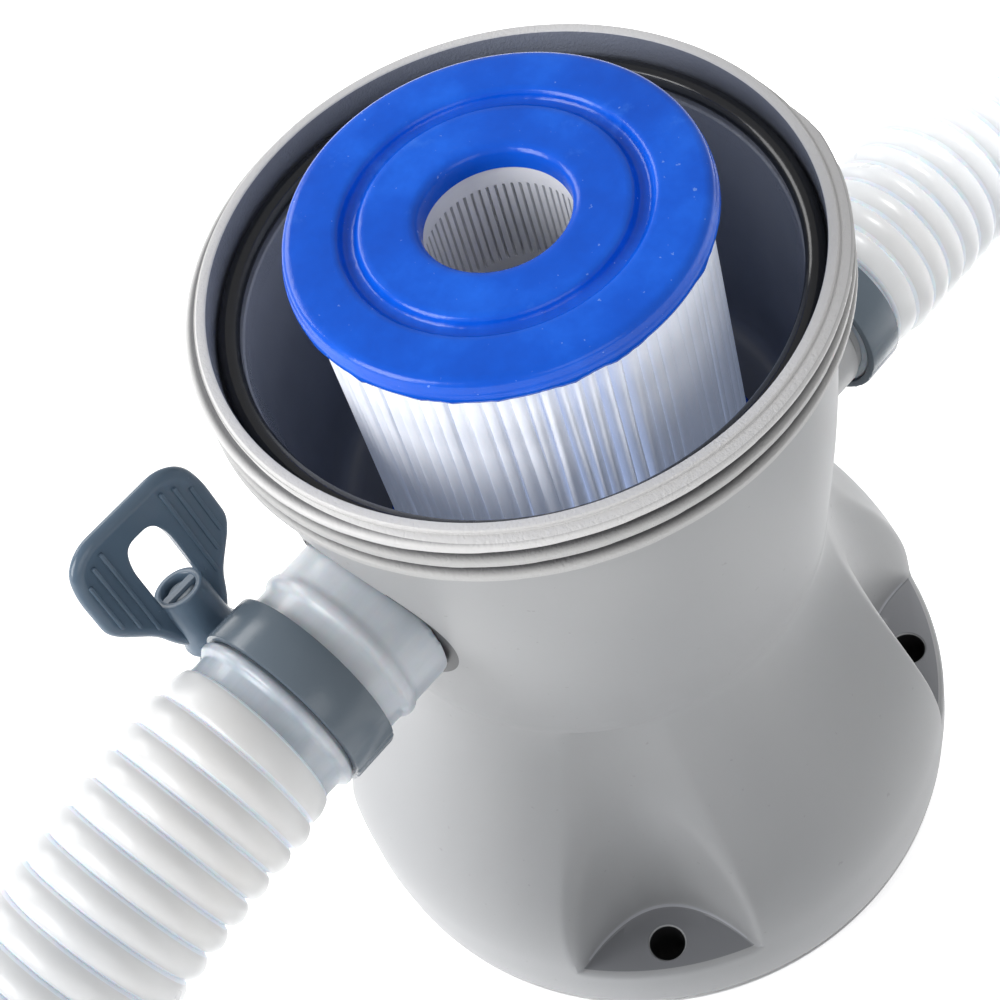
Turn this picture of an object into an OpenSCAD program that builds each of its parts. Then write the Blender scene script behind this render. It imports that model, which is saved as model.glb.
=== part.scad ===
// Cartridge filter pump: open-topped housing with a loose filter cartridge,
// a wet-rotor pump in the base and two corrugated hoses held by clamps.
// Units are millimetres. The base stands on z = 0 and the ports run along X.

/* [Housing] */
// height of the rim above the ground
rim_z = 187.3; // [180:0.1:195]
// inner radius of the rim at its top
rim_inner_r = 58.8; // [58:0.1:60]
// outer radius of the thread crests
crest_r = 63.6; // [62:0.1:65]
// radius of the base wall
base_r = 74.8; // [72:0.1:78]
// wall thickness of the moulding
wall = 2.8; // [2:0.1:4]
// height of the chamber floor
floor_z = 115.8; // [110:0.1:120]
// radius of the chamber at its top
chamber_r = 54; // [52:0.1:56]
// height of the ledge that carries the seal
ledge_z = 178; // [176:0.1:180]

/* [Mounting] */
// spacing of the four mounting holes along X and along Y
mount_pitch = 95; // [90:1:100]
// radius of a mounting hole
mount_r = 4; // [3:0.1:5]
// height of the pocket floors
pocket_z = 20; // [15:1:30]

/* [Ports] */
// height of the inlet axis
inlet_z = 137; // [130:0.5:140]
// height of the outlet axis
outlet_z = 82.5; // [80:0.5:90]
// bore radius of a port
port_bore_r = 13; // [10:0.5:14]
// outer radius of a port spigot, the bore radius of the hose
spigot_r = 16; // [15:0.5:18]

/* [Hoses] */
// outer diameter of the hose over its corrugations
hose_d = 41; // [36:0.1:44]
// outer radius of a smooth hose cuff
cuff_r = 18; // [17:0.1:19]

/* [Clamps] */
// station of the inlet clamp along X
inlet_clamp_x = -77.8; // [-85:0.1:-70]
// station of the outlet clamp along X
outlet_clamp_x = 83; // [78:0.1:90]
// width of a clamp band
band_w = 10.4; // [8:0.1:12]
// lean of the clamp screw away from vertical in degrees
clamp_lean = 18; // [0:1:30]
// distance of the clamp screw from the hose axis
screw_y = 27; // [25:0.5:30]

/* [Cartridge] */
// outer diameter of the filter cartridge
cartridge_d = 80; // [78:1:84]
// length of the filter cartridge
cartridge_h = 90; // [85:1:95]
// number of pleats
pleats = 40; // [24:2:48]

/* [Pump] */
// radius of the impeller
impeller_r = 20; // [16:0.5:22]
// number of impeller vanes
vanes = 6; // [4:1:8]
// radius of the pump shaft
shaft_r = 2; // [1.5:0.1:3]

/* [Hidden] */
$fn = 72;
slant = 3.4;
scoop_r = 22;
scoop_rho = 80;
mount_rho = mount_pitch / sqrt(2);
flare_z0 = 22;
crease_z = 99;
neck_r = 52.3;
body_r = 58.6;
volute_r = 24;
can_z = 66;
plate_z0 = 3;
boss_foot_r = 6;
plate_z1 = 6;
plate_r = 71.3;
plate_screw_rho = 60;
can_screw_rho = 30.5;
cartridge_foot = [-3, -5, 116.5];
cartridge_lean = [0, 0.75, 90];
cap_h = 5.5;
cap_hole_r = 14;
pleat_r = 37.2;
core_r = 17.5;
socket_r = 19.3;
socket_x = 54.9;
inlet_cuff_x = 55;
suction_r = 7.8;
pipe_r = 14;
pipe_end = 60;
neck_tube_r = 16.8;
outlet_cuff_x = 77.6;
cuff_out_x = 90;
far_cuff_l = 36;
hose_sides = 12;
gland_z = 17;
hub_top = 18.2;
hub_l = 14.2;
hub_r = 5.55;
stud_r = 3;
paddle_t = 3.5;
washer_t = 0.9;
ear_in = 1.5;
ear_t = 1.7;
flare_steps = 12;
neck_steps = 8;
quarter = [45, 135, 225, 315];
screw_angles = [22.5, 112.5, 202.5, 292.5];
can_angles = [45, 135, 225, 315];
foot_angles = [0, 90, 180, 270];
inlet_route = [
    [-90, 0, 137], [-112, 0, 135], [-136, 0, 131], [-178, 0, 121], [-228, -6, 107],
    [-276, -27, 91], [-317, -59, 72], [-348, -98, 51], [-367, -144, 33],
    [-374, -196, 24], [-368, -242, 21.2], [-349, -287, 20.8], [-317, -326, 20.8],
    [-274, -354, 20.8], [-227, -367, 20.8], [-178, -368, 20.8], [-130, -357, 20.8],
    [-87, -333, 20.8], [-53, -299, 20.8], [-32, -256, 20.8], [-26, -208, 20.8],
    [-33, -154, 20.8], [-58, -103, 20.8], [-98, -66, 20.8], [-145, -48, 20.8],
    [-195, -44, 20.8], [-250, -44, 20.8], [-305, -44, 20.8], [-360, -44, 20.8],
    [-390, -44, 20.8], [-420, -44, 20.8]];
outlet_route = [
    [90, 0, 82.5], [130, 0, 82], [172, 0, 81], [216, 0, 79],
    [266, -6, 74], [314, -27, 65], [355, -59, 51], [386, -98, 35],
    [405, -144, 23.8], [412, -196, 20.8], [406, -242, 20.8], [387, -287, 20.8],
    [355, -326, 20.8], [312, -354, 20.8], [265, -367, 20.8], [216, -368, 20.8],
    [168, -357, 20.8], [125, -333, 20.8], [91, -299, 20.8], [70, -256, 20.8],
    [64, -208, 20.8], [71, -154, 20.8], [96, -103, 20.8], [136, -66, 20.8],
    [183, -48, 20.8], [233, -44, 20.8], [285, -44, 20.8], [335, -44, 20.8],
    [385, -44, 20.8], [410, -44, 20.8], [435, -44, 20.8]];

// radius of the outside wall at a height up the flare
function flare_r(z) =
    neck_r + (base_r - neck_r) * (0.5 + 0.5 * cos(180 * (z - flare_z0) / (crease_z - flare_z0)));
// radius of the outside wall at a height up the chamber
function upper_r(z) = neck_r + (body_r - neck_r) * sin(90 * (z - crease_z) / 66);
function flare_line(off) = [
    for (i = [0 : flare_steps])
        let (z = flare_z0 + (crease_z - flare_z0) * i / flare_steps)
        [flare_r(z) - off, z]];
function upper_line(off, z0, z1) = [
    for (i = [1 : neck_steps])
        let (z = z0 + (z1 - z0) * i / neck_steps)
        [upper_r(z) - off, z]];

// ---------- housing ----------
module outside_solid() {
    rotate_extrude()
        polygon(concat(
            [[0, 1], [base_r - 1.4, 1], [base_r - 0.4, 2.4], [base_r, 12]],
            flare_line(0),
            upper_line(0, crease_z, 165),
            [[body_r, 173.8], [61.6, 174.6], [61.6, 175.8], [60.4, 176.6],
             [60.4, 178.6], [crest_r, 180], [crest_r, 181.4], [60.4, 182.8],
             [60.4, 183.6], [crest_r, 184.9], [crest_r, 186.1], [61.2, rim_z],
             [0, rim_z]]));
}

module chamber_cut() {
    rotate_extrude()
        polygon([
            [0, floor_z], [48, floor_z], [50.6, floor_z + 1.2],
            [52, floor_z + 4], [52.6, floor_z + 8], [chamber_r, 160],
            [chamber_r, ledge_z], [rim_inner_r + 0.1, ledge_z],
            [rim_inner_r, rim_z + 1], [0, rim_z + 1]]);
}

module base_cut() {
    rotate_extrude()
        polygon(concat(
            [[0, 0], [base_r - wall - 0.6, 0], [base_r - wall, 12]],
            flare_line(wall + 0.2),
            [[49.4, 106], [48.6, floor_z - wall - 2], [46.6, floor_z - wall],
             [0, floor_z - wall]]));
}

module scoop_cutter(r, z0) {
    intersection() {
        translate([scoop_rho, 0, pocket_z])
            rotate([0, -slant, 0])
                translate([0, 0, -20])
                    cylinder(r = r, h = 100);
        translate([20, -40, z0])
            cube([80, 80, 100]);
    }
}

module port_tube(side, r, x0, x1, z) {
    translate([side * x0, 0, z])
        rotate([0, side * 90, 0])
            cylinder(r = r, h = x1 - x0);
}

module above_split() {
    translate([-100, -100, crease_z])
        cube([200, 200, 100]);
}

// upper shell: chamber, threaded rim and inlet spigot
module housing() {
    color("lightgray")
    difference() {
        union() {
            intersection() {
                difference() {
                    outside_solid();
                    chamber_cut();
                    base_cut();
                }
                above_split();
            }
            intersection() {
                port_tube(-1, spigot_r, 50, 88, inlet_z);
                translate([-54 - 40, -40, 100])
                    cube([42, 80, 80]);
            }
        }
        // hole for the suction tube
        translate([0, 0, 100])
            cylinder(r = suction_r, h = 30);
        // inlet passage
        port_tube(-1, port_bore_r, 40, 97, inlet_z);
        // socket round the inlet spigot that the cuff end sits in
        difference() {
            port_tube(-1, socket_r, socket_x, 70, inlet_z);
            port_tube(-1, spigot_r, socket_x - 1, 71, inlet_z);
        }
    }
}

// lower shell: flare, mounting pockets and outlet neck
module housing_base() {
    color("silver")
    difference() {
        union() {
            difference() {
                outside_solid();
                base_cut();
                above_split();
            }
            // pocket walls and their bosses
            intersection() {
                outside_solid();
                union() {
                    for (a = quarter)
                        rotate([0, 0, a]) {
                            difference() {
                                scoop_cutter(scoop_r + wall, pocket_z - wall);
                                translate([50, -40, 90])
                                    cube([60, 80, 40]);
                            }
                            translate([mount_rho, 0, 1])
                                cylinder(r = mount_r + wall, h = pocket_z);
                        }
                }
            }
            // the bosses stand on the ground
            for (a = quarter)
                rotate([0, 0, a])
                    translate([mount_rho, 0, 0])
                        cylinder(r = boss_foot_r, h = plate_z0);
            // base screw bosses with ribs to the wall
            for (a = screw_angles)
                rotate([0, 0, a]) {
                    translate([plate_screw_rho, 0, plate_z1 + 0.1])
                        cylinder(r = 4.5, h = 22, $fn = 36);
                    translate([plate_screw_rho + 3, -1.25, plate_z1 + 0.1])
                        cube([8.6, 2.5, 20]);
                }
            // outlet neck and spigot
            port_tube(1, neck_tube_r, 50, 76.4, outlet_z);
            port_tube(1, spigot_r, 70, 89.9, outlet_z);
        }
        for (a = quarter)
            rotate([0, 0, a]) {
                scoop_cutter(scoop_r, pocket_z);
                translate([mount_rho, 0, 0])
                    cylinder(r = mount_r, h = 40);
            }
        for (a = screw_angles)
            rotate([0, 0, a])
                translate([plate_screw_rho, 0, 0])
                    cylinder(r = 1.75, h = 24, $fn = 36);
        // outlet passage with the socket for the volute's pipe
        port_tube(1, pipe_r, 40, pipe_end, outlet_z);
        port_tube(1, port_bore_r, pipe_end - 1, 97, outlet_z);
        // hole for the cable gland
        translate([0, 60, gland_z])
            rotate([-90, 0, 0])
                cylinder(r = 6.1, h = 30, $fn = 48);
    }
}

module shaft_spider() {
    translate([0, 0, 93])
        cylinder(r = 4, h = 4, $fn = 36);
    for (a = [0, 120, 240])
        rotate([0, 0, a])
            translate([0, -0.8, 93])
                cube([7.4, 1.6, 4]);
}

// pump room with its suction tube, outlet pipe and screw flange
module volute() {
    color("gainsboro")
    difference() {
        union() {
            translate([0, 0, can_z])
                cylinder(r = volute_r + 3, h = 29.5);
            translate([0, 0, can_z])
                cylinder(r = 34, h = 3);
            for (a = can_angles)
                rotate([0, 0, a])
                    translate([can_screw_rho, 0, can_z])
                        cylinder(r = 4, h = 11, $fn = 36);
            // ribs that stand against the chamber floor
            for (a = [30 : 60 : 330])
                rotate([0, 0, a])
                    translate([6, -1.2, 95])
                        cube([20, 2.4, floor_z - wall - 95]);
            translate([0, 0, 93])
                cylinder(r = suction_r, h = floor_z + 5 - 93);
            port_tube(1, pipe_r, 20, pipe_end, outlet_z);
        }
        for (a = can_angles)
            rotate([0, 0, a])
                translate([can_screw_rho, 0, can_z - 1])
                    cylinder(r = 1.5, h = 10, $fn = 36);
        translate([0, 0, can_z - 1])
            cylinder(r = volute_r, h = 27.5);
        // suction bore round the shaft support
        difference() {
            translate([0, 0, 90])
                cylinder(r = 6.5, h = 40);
            shaft_spider();
        }
        translate([0, 0, 90])
            cylinder(r = shaft_r, h = 5.5, $fn = 36);
        // outlet passage
        translate([12, 0, outlet_z])
            rotate([0, 90, 0])
                cylinder(r1 = 9, r2 = port_bore_r, h = 50);
    }
}

module lid_seal_ring() {
    color("black")
        translate([0, 0, 180.5])
            rotate_extrude()
                translate([56.3, 0])
                    circle(r = 2.6, $fn = 32);
}

// ---------- base ----------
module base_plate() {
    color("dimgray")
    difference() {
        union() {
            translate([0, 0, plate_z0])
                cylinder(r = plate_r, h = plate_z1 - plate_z0);
            translate([0, 0, plate_z0])
                cylinder(r = 27.5, h = 44);
        }
        translate([0, 0, plate_z1 + 2])
            cylinder(r = 22, h = 60);
        translate([0, 0, 40])
            cylinder(r = 24.4, h = 20);
        for (a = [0 : 60 : 300])
            rotate([0, 0, a])
                translate([18, -3, plate_z1 + 4])
                    cube([20, 6, 12]);
        for (a = quarter)
            rotate([0, 0, a])
                translate([mount_rho, 0, 0])
                    cylinder(r = mount_r + wall + 0.3, h = 10);
        for (a = screw_angles)
            rotate([0, 0, a]) {
                translate([plate_screw_rho, 0, 0])
                    cylinder(r = 1.8, h = 10, $fn = 36);
                translate([plate_screw_rho, 0, 0])
                    cylinder(r = 3.4, h = 4, $fn = 36);
            }
        for (a = foot_angles)
            rotate([0, 0, a])
                translate([58, 0, 0])
                    cylinder(r = 3, h = 10, $fn = 36);
    }
}

module base_screws() {
    color("silver")
        for (a = screw_angles)
            rotate([0, 0, a])
                translate([plate_screw_rho, 0, 0])
                    difference() {
                        union() {
                            translate([0, 0, 1.6])
                                cylinder(r = 3.2, h = 2.4, $fn = 36);
                            translate([0, 0, 3])
                                cylinder(r = 1.75, h = 18, $fn = 36);
                        }
                        for (c = [0, 90])
                            rotate([0, 0, c])
                                translate([-1.8, -0.4, 1])
                                    cube([3.6, 0.8, 1.9]);
                    }
}

module feet() {
    color("black")
        for (a = foot_angles)
            rotate([0, 0, a])
                translate([58, 0, 0]) {
                    cylinder(r1 = 6.4, r2 = 7, h = plate_z0);
                    cylinder(r = 3, h = plate_z1 + 0.2, $fn = 36);
                    translate([0, 0, plate_z1])
                        cylinder(r1 = 4, r2 = 2.6, h = 2.6, $fn = 36);
                }
}

module cable_gland() {
    color("dimgray")
        translate([0, 0, gland_z])
            rotate([-90, 0, 0])
                rotate_extrude($fn = 48)
                    polygon([
                        [3, 62], [6, 62], [6, 74.9], [9, 74.9], [9, 79],
                        [7.4, 80], [7, 86], [5.4, 88], [3, 88]]);
}

module gland_nut() {
    color("gray")
        translate([0, 0, gland_z])
            rotate([-90, 0, 0])
                translate([0, 0, 66.6])
                    difference() {
                        cylinder(r = 9.6, h = 4, $fn = 6);
                        translate([0, 0, -1])
                            cylinder(r = 6, h = 6, $fn = 48);
                    }
}

// ---------- filter cartridge ----------
module in_cartridge() {
    translate(cartridge_foot)
        rotate(cartridge_lean)
            children();
}

module cap_body() {
    rotate_extrude()
        polygon([
            [cap_hole_r, 0], [core_r, 0], [core_r, 1], [37.8, 1], [37.8, 0],
            [39.6, 0], [40, 0.8], [40, 3.4], [39.5, 3.8], [39.5, cap_h - 1.2],
            [38.4, cap_h], [29.2, cap_h], [28.6, cap_h - 2.4], [25.4, cap_h - 2.4],
            [24.8, cap_h], [cap_hole_r + 1.4, cap_h], [cap_hole_r, cap_h - 1.2]]);
}

module cartridge_top_cap() {
    color("royalblue")
        in_cartridge()
            translate([0, 0, cartridge_h - cap_h])
                cap_body();
}

module cartridge_bottom_cap() {
    color("royalblue")
        in_cartridge()
            translate([0, 0, cap_h])
                mirror([0, 0, 1])
                    cap_body();
}

function star(outer, inner) = [
    for (i = [0 : pleats - 1])
        for (k = [0, 1])
            let (a = 360 * (i + k / 2) / pleats, r = k == 0 ? outer : inner)
            [r * cos(a), r * sin(a)]];

module cartridge_pleats() {
    color("white")
        in_cartridge()
            translate([0, 0, cap_h - 1])
                linear_extrude(height = cartridge_h - 2 * cap_h + 2)
                    difference() {
                        polygon(star(pleat_r, 20.4));
                        polygon(star(pleat_r - 2.4, 18.6));
                    }
}

module cartridge_core() {
    color("white")
        in_cartridge()
            difference() {
                translate([0, 0, cap_h - 1])
                    cylinder(r = core_r, h = cartridge_h - 2 * cap_h + 2);
                cylinder(r = core_r - 1.8, h = cartridge_h);
                for (z = [12 : 16.5 : 65])
                    for (a = [0 : 45 : 135])
                        rotate([0, 0, a + 22.5])
                            translate([-20, -2, z])
                                cube([40, 4, 13]);
            }
}

// ---------- pump ----------
module vane() {
    translate([4, -0.8, 0])
        cube([4, 1.6, 14]);
    translate([7, 0, 0])
        rotate([0, 0, -28])
            translate([0, -0.8, 0])
                cube([13.4, 1.6, 18]);
}

module impeller() {
    color("orange")
    difference() {
        union() {
            translate([0, 0, 70.4])
                cylinder(r = impeller_r, h = 2);
            translate([0, 0, 72])
                for (i = [0 : vanes - 1])
                    rotate([0, 0, 360 * i / vanes])
                        vane();
            translate([0, 0, 37])
                cylinder(r = 5, h = 40, $fn = 48);
            translate([0, 0, 77])
                cylinder(r1 = 5, r2 = 4.2, h = 12, $fn = 48);
        }
        translate([0, 0, 36])
            cylinder(r = 2.7, h = 60, $fn = 36);
        translate([0, 0, 36])
            cylinder(r = 3.5, h = 5, $fn = 36);
        translate([0, 0, 85])
            cylinder(r = 3.5, h = 6, $fn = 36);
    }
}

module rotor_magnet() {
    color("darkslategray")
        translate([0, 0, 38.5])
            difference() {
                cylinder(r = 10, h = 24);
                translate([0, 0, -1])
                    cylinder(r = 5, h = 26, $fn = 48);
            }
}

module rotor_bushes() {
    color("peru")
        for (z = [37, 85])
            translate([0, 0, z])
                difference() {
                    cylinder(r = 3.5, h = 4, $fn = 36);
                    translate([0, 0, -1])
                        cylinder(r = shaft_r + 0.06, h = 6, $fn = 36);
                }
}

module thrust_washer() {
    color("ivory")
        translate([0, 0, 35.6])
            difference() {
                cylinder(r = 4, h = 1.2, $fn = 36);
                translate([0, 0, -1])
                    cylinder(r = shaft_r, h = 4, $fn = 36);
            }
}

module rotor_shaft() {
    color("silver")
        translate([0, 0, 32])
            cylinder(r = shaft_r, h = 63.5, $fn = 36);
}

module rotor_can() {
    color("darkorange")
    difference() {
        union() {
            difference() {
                union() {
                    translate([0, 0, 63])
                        cylinder(r = 34, h = 3);
                    translate([0, 0, 30])
                        cylinder(r = 12.5, h = 34);
                }
                translate([0, 0, 31.6])
                    cylinder(r = 11, h = 40);
            }
            translate([0, 0, 31])
                cylinder(r = 4, h = 4.6, $fn = 36);
        }
        translate([0, 0, 32])
            cylinder(r = shaft_r, h = 10, $fn = 36);
        translate([0, 0, 64.6])
            difference() {
                cylinder(r = 28, h = 3);
                translate([0, 0, -1])
                    cylinder(r = 25.2, h = 5);
            }
        for (a = can_angles)
            rotate([0, 0, a])
                translate([can_screw_rho, 0, 60])
                    cylinder(r = 1.7, h = 10, $fn = 36);
    }
}

module can_seal_ring() {
    color("black")
        translate([0, 0, 64.6])
            difference() {
                cylinder(r = 27.6, h = 1.4);
                translate([0, 0, -1])
                    cylinder(r = 25.6, h = 4);
            }
}

module can_screws() {
    color("silver")
        for (a = can_angles)
            rotate([0, 0, a])
                translate([can_screw_rho, 0, 0])
                    difference() {
                        union() {
                            translate([0, 0, 60.8])
                                cylinder(r = 2.8, h = 2.2, $fn = 36);
                            translate([0, 0, 62])
                                cylinder(r = 1.5, h = 12.6, $fn = 36);
                        }
                        for (c = [0, 90])
                            rotate([0, 0, c])
                                translate([-1.6, -0.35, 60])
                                    cube([3.2, 0.7, 1.8]);
                    }
}

module stator_core() {
    color("slategray")
        translate([0, 0, 40])
            linear_extrude(height = 17)
                difference() {
                    union() {
                        difference() {
                            circle(r = 24.3);
                            circle(r = 20.4);
                        }
                        for (a = [0 : 60 : 300])
                            rotate(a) {
                                translate([13.5, -2.5])
                                    square([8, 5]);
                            }
                        difference() {
                            circle(r = 14.4);
                            for (a = [30 : 60 : 330])
                                rotate(a)
                                    translate([0, -1.2])
                                        square([20, 2.4]);
                        }
                    }
                    circle(r = 12.8);
                }
}

module stator_coils() {
    color("chocolate")
        for (a = [0 : 60 : 300])
            rotate([0, 0, a])
                difference() {
                    translate([14.7, -4.6, 36.6])
                        cube([5.2, 9.2, 23.8]);
                    translate([10, -2.7, 39.8])
                        cube([14, 5.4, 17.4]);
                }
}

// ---------- hoses ----------
module cuff_profile(x0, x1, bead, lip) {
    polygon([
        [spigot_r, x0], [cuff_r, x0], [cuff_r, bead - 1.6], [cuff_r + 0.8, bead - 0.5],
        [cuff_r + 0.8, bead + 0.5], [cuff_r, bead + 1.6], [cuff_r, lip - 1],
        [cuff_r + 1.1, lip - 0.4], [cuff_r + 1.1, lip + 0.8], [cuff_r - 0.4, lip + 1.8],
        [cuff_r - 0.4, x1], [spigot_r, x1]]);
}

module inlet_cuff() {
    color("lightblue")
        translate([0, 0, inlet_z])
            rotate([0, -90, 0])
                rotate_extrude()
                    cuff_profile(inlet_cuff_x, cuff_out_x, 66, 84.4);
}

module outlet_cuff() {
    color("lightblue")
        translate([0, 0, outlet_z])
            rotate([0, 90, 0])
                rotate_extrude()
                    polygon([
                        [spigot_r, outlet_cuff_x], [cuff_r, outlet_cuff_x],
                        [cuff_r, 89.2], [cuff_r + 0.6, cuff_out_x],
                        [spigot_r, cuff_out_x]]);
}

module far_cuff(p, side) {
    translate(p)
        rotate([0, side * 90, 0])
            rotate_extrude()
                polygon([
                    [spigot_r, 0], [cuff_r + 0.8, 0], [cuff_r, 2], [cuff_r, 20],
                    [cuff_r + 0.8, 21], [cuff_r + 0.8, 22.4], [cuff_r, 23.4],
                    [cuff_r, far_cuff_l], [spigot_r, far_cuff_l]]);
}

module inlet_end_cuff() {
    color("lightblue")
        far_cuff(inlet_route[len(inlet_route) - 1], -1);
}

module outlet_end_cuff() {
    color("lightblue")
        far_cuff(outlet_route[len(outlet_route) - 1], 1);
}

function unit(v) = v / norm(v);
function heading(route, i) =
    i == 0 ? unit([route[1][0] - route[0][0], 0, 0]) :
    i == len(route) - 1 ? unit([route[i][0], 0, 0]) :
    unit(unit(route[i + 1] - route[i]) + unit(route[i] - route[i - 1]));
function ring_point(route, i, k) =
    let (t = heading(route, i),
         side = unit(cross([0, 0, 1], t)),
         lift = cross(t, side),
         a = 360 * k / hose_sides)
    route[i] + hose_d / 2 * (cos(a) * side + sin(a) * lift);

module hose_tube(route) {
    n = len(route);
    m = hose_sides;
    polyhedron(
        points = [for (i = [0 : n - 1]) for (k = [0 : m - 1]) ring_point(route, i, k)],
        faces = concat(
            [[for (k = [0 : m - 1]) k]],
            [for (i = [0 : n - 2]) for (k = [0 : m - 1])
                let (a = i * m + k, b = i * m + (k + 1) % m)
                [a, a + m, b + m, b]],
            [[for (k = [0 : m - 1]) (n - 1) * m + (m - 1 - k)]]));
}

module inlet_hose() {
    color("aliceblue")
        hose_tube(inlet_route);
}

module outlet_hose() {
    color("aliceblue")
        hose_tube(outlet_route);
}

// ---------- clamps ----------
module at_clamp(x, z) {
    translate([x, 0, z])
        rotate([-clamp_lean, 0, 0])
            children();
}

module band() {
    outer = cuff_r + 1.7;
    difference() {
        union() {
            translate([-band_w / 2, 0, 0])
                rotate([0, 90, 0])
                    cylinder(r = outer, h = band_w);
            translate([-band_w / 2, 10, -ear_in - ear_t])
                cube([band_w, 22.6, 2 * (ear_in + ear_t)]);
        }
        translate([-band_w, 0, 0])
            rotate([0, 90, 0])
                cylinder(r = cuff_r, h = band_w * 2);
        translate([-band_w, 10, -ear_in])
            cube([band_w * 2, 30, 2 * ear_in]);
        translate([0, screw_y, -10])
            cylinder(r = stud_r + 0.25, h = 20, $fn = 36);
    }
}

module clamp_screw() {
    translate([0, screw_y, 0]) {
        translate([0, 0, -ear_in - ear_t - 3.4])
            difference() {
                cylinder(r = 5.2, h = 3.4, $fn = 36);
                translate([-4, -0.6, -1])
                    cube([8, 1.2, 2.2]);
            }
        translate([0, 0, -ear_in - ear_t - 1])
            cylinder(r = stud_r, h = ear_in + ear_t + 1 + hub_top - 1, $fn = 36);
    }
}

module clamp_washer() {
    translate([0, screw_y, ear_in + ear_t])
        difference() {
            cylinder(r = 5.2, h = washer_t - 0.1, $fn = 48);
            translate([0, 0, -1])
                cylinder(r = stud_r + 0.2, h = 4, $fn = 36);
        }
}

module wing_nut() {
    translate([0, screw_y, hub_top])
        difference() {
            union() {
                translate([0, 0, -hub_l])
                    cylinder(r = hub_r, h = hub_l, $fn = 48);
                rotate([90, 0, 0])
                    translate([0, 0, -paddle_t / 2])
                        linear_extrude(height = paddle_t)
                            difference() {
                                polygon([
                                    [-6, -11.6], [6, -11.6], [9, -5], [15.5, 2.6],
                                    [16.8, 6], [16.8, 15], [15.9, 18.6], [13.8, 21.4],
                                    [11, 22.9], [8.4, 23.2], [-8.4, 23.2], [-11, 22.9],
                                    [-13.8, 21.4], [-15.9, 18.6], [-16.8, 15], [-16.8, 6],
                                    [-15.5, 2.6], [-9, -5]]);
                                translate([-5.1, 0])
                                    square([10.2, 16]);
                            }
            }
            translate([0, 0, -hub_l - 1])
                cylinder(r = stud_r + 0.08, h = hub_l + 2, $fn = 36);
            translate([0, 0, -2])
                cylinder(r = 3.75, h = 3, $fn = 48);
        }
}

module inlet_band() {
    color("slategray")
        at_clamp(inlet_clamp_x, inlet_z)
            band();
}

module outlet_band() {
    color("slategray")
        at_clamp(outlet_clamp_x, outlet_z)
            band();
}

module inlet_screw() {
    color("slategray")
        at_clamp(inlet_clamp_x, inlet_z)
            clamp_screw();
}

module outlet_screw() {
    color("slategray")
        at_clamp(outlet_clamp_x, outlet_z)
            clamp_screw();
}

module inlet_washer() {
    color("silver")
        at_clamp(inlet_clamp_x, inlet_z)
            clamp_washer();
}

module outlet_washer() {
    color("silver")
        at_clamp(outlet_clamp_x, outlet_z)
            clamp_washer();
}

module inlet_wing_nut() {
    color("steelblue")
        at_clamp(inlet_clamp_x, inlet_z)
            wing_nut();
}

module outlet_wing_nut() {
    color("steelblue")
        at_clamp(outlet_clamp_x, outlet_z)
            wing_nut();
}

housing();
housing_base();
volute();
lid_seal_ring();
base_plate();
base_screws();
feet();
cable_gland();
gland_nut();
cartridge_top_cap();
cartridge_bottom_cap();
cartridge_pleats();
cartridge_core();
impeller();
rotor_magnet();
rotor_bushes();
thrust_washer();
rotor_shaft();
rotor_can();
can_seal_ring();
can_screws();
stator_core();
stator_coils();
inlet_cuff();
inlet_hose();
inlet_end_cuff();
inlet_band();
inlet_screw();
inlet_washer();
inlet_wing_nut();
outlet_cuff();
outlet_hose();
outlet_end_cuff();
outlet_band();
outlet_screw();
outlet_washer();
outlet_wing_nut();
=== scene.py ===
import math

import bmesh
import bpy
import numpy as np
from mathutils import Matrix, Vector, noise


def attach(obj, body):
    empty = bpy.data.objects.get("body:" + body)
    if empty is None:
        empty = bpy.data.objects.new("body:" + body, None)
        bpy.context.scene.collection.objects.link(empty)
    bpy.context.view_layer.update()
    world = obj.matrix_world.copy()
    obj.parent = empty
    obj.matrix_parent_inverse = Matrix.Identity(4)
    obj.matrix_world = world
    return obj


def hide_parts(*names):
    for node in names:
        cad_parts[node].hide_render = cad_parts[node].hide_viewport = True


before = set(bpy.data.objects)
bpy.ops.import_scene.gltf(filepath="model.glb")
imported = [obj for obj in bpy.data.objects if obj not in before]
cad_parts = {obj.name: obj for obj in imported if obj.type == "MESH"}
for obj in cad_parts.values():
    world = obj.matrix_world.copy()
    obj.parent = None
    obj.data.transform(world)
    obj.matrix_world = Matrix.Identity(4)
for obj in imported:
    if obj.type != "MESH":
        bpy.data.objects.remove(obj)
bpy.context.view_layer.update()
MM = 0.001
TAU = 2 * math.pi
rng = np.random.default_rng(11)

# ---------------------------------------------------------------- camera
cam_data = bpy.data.cameras.new("camera")
cam = bpy.data.objects.new("camera", cam_data)
bpy.context.scene.collection.objects.link(cam)
bpy.context.scene.camera = cam
cam_data.lens = 77.4
cam_data.sensor_width = 36.0
cam_data.clip_start = 0.01
cam_data.clip_end = 20.0
CAM_PLACE = Vector((-160.5, -216.7, 486.4))
CAM_RIGHT = Vector((0.6452, -0.7388, -0.1946)).normalized()
CAM_FORWARD = Vector((0.3199, 0.4926, -0.8093)).normalized()
CAM_UP = CAM_RIGHT.cross(CAM_FORWARD).normalized()
turn = Matrix((CAM_RIGHT, CAM_UP, -CAM_FORWARD)).transposed().to_4x4()
cam.matrix_world = Matrix.Translation(CAM_PLACE * MM) @ turn


# ---------------------------------------------------------------- mesh helpers (millimetres in, metres out)
def ease(t):
    t = np.clip(t, 0, 1)
    return 0.5 - 0.5 * np.cos(math.pi * t)


def smooth_step(t):
    t = np.clip(t, 0, 1)
    return t * t * (3 - 2 * t)


def face_outwards(mesh):
    bm = bmesh.new()
    bm.from_mesh(mesh)
    bmesh.ops.recalc_face_normals(bm, faces=bm.faces)
    bm.to_mesh(mesh)
    bm.free()


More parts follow.
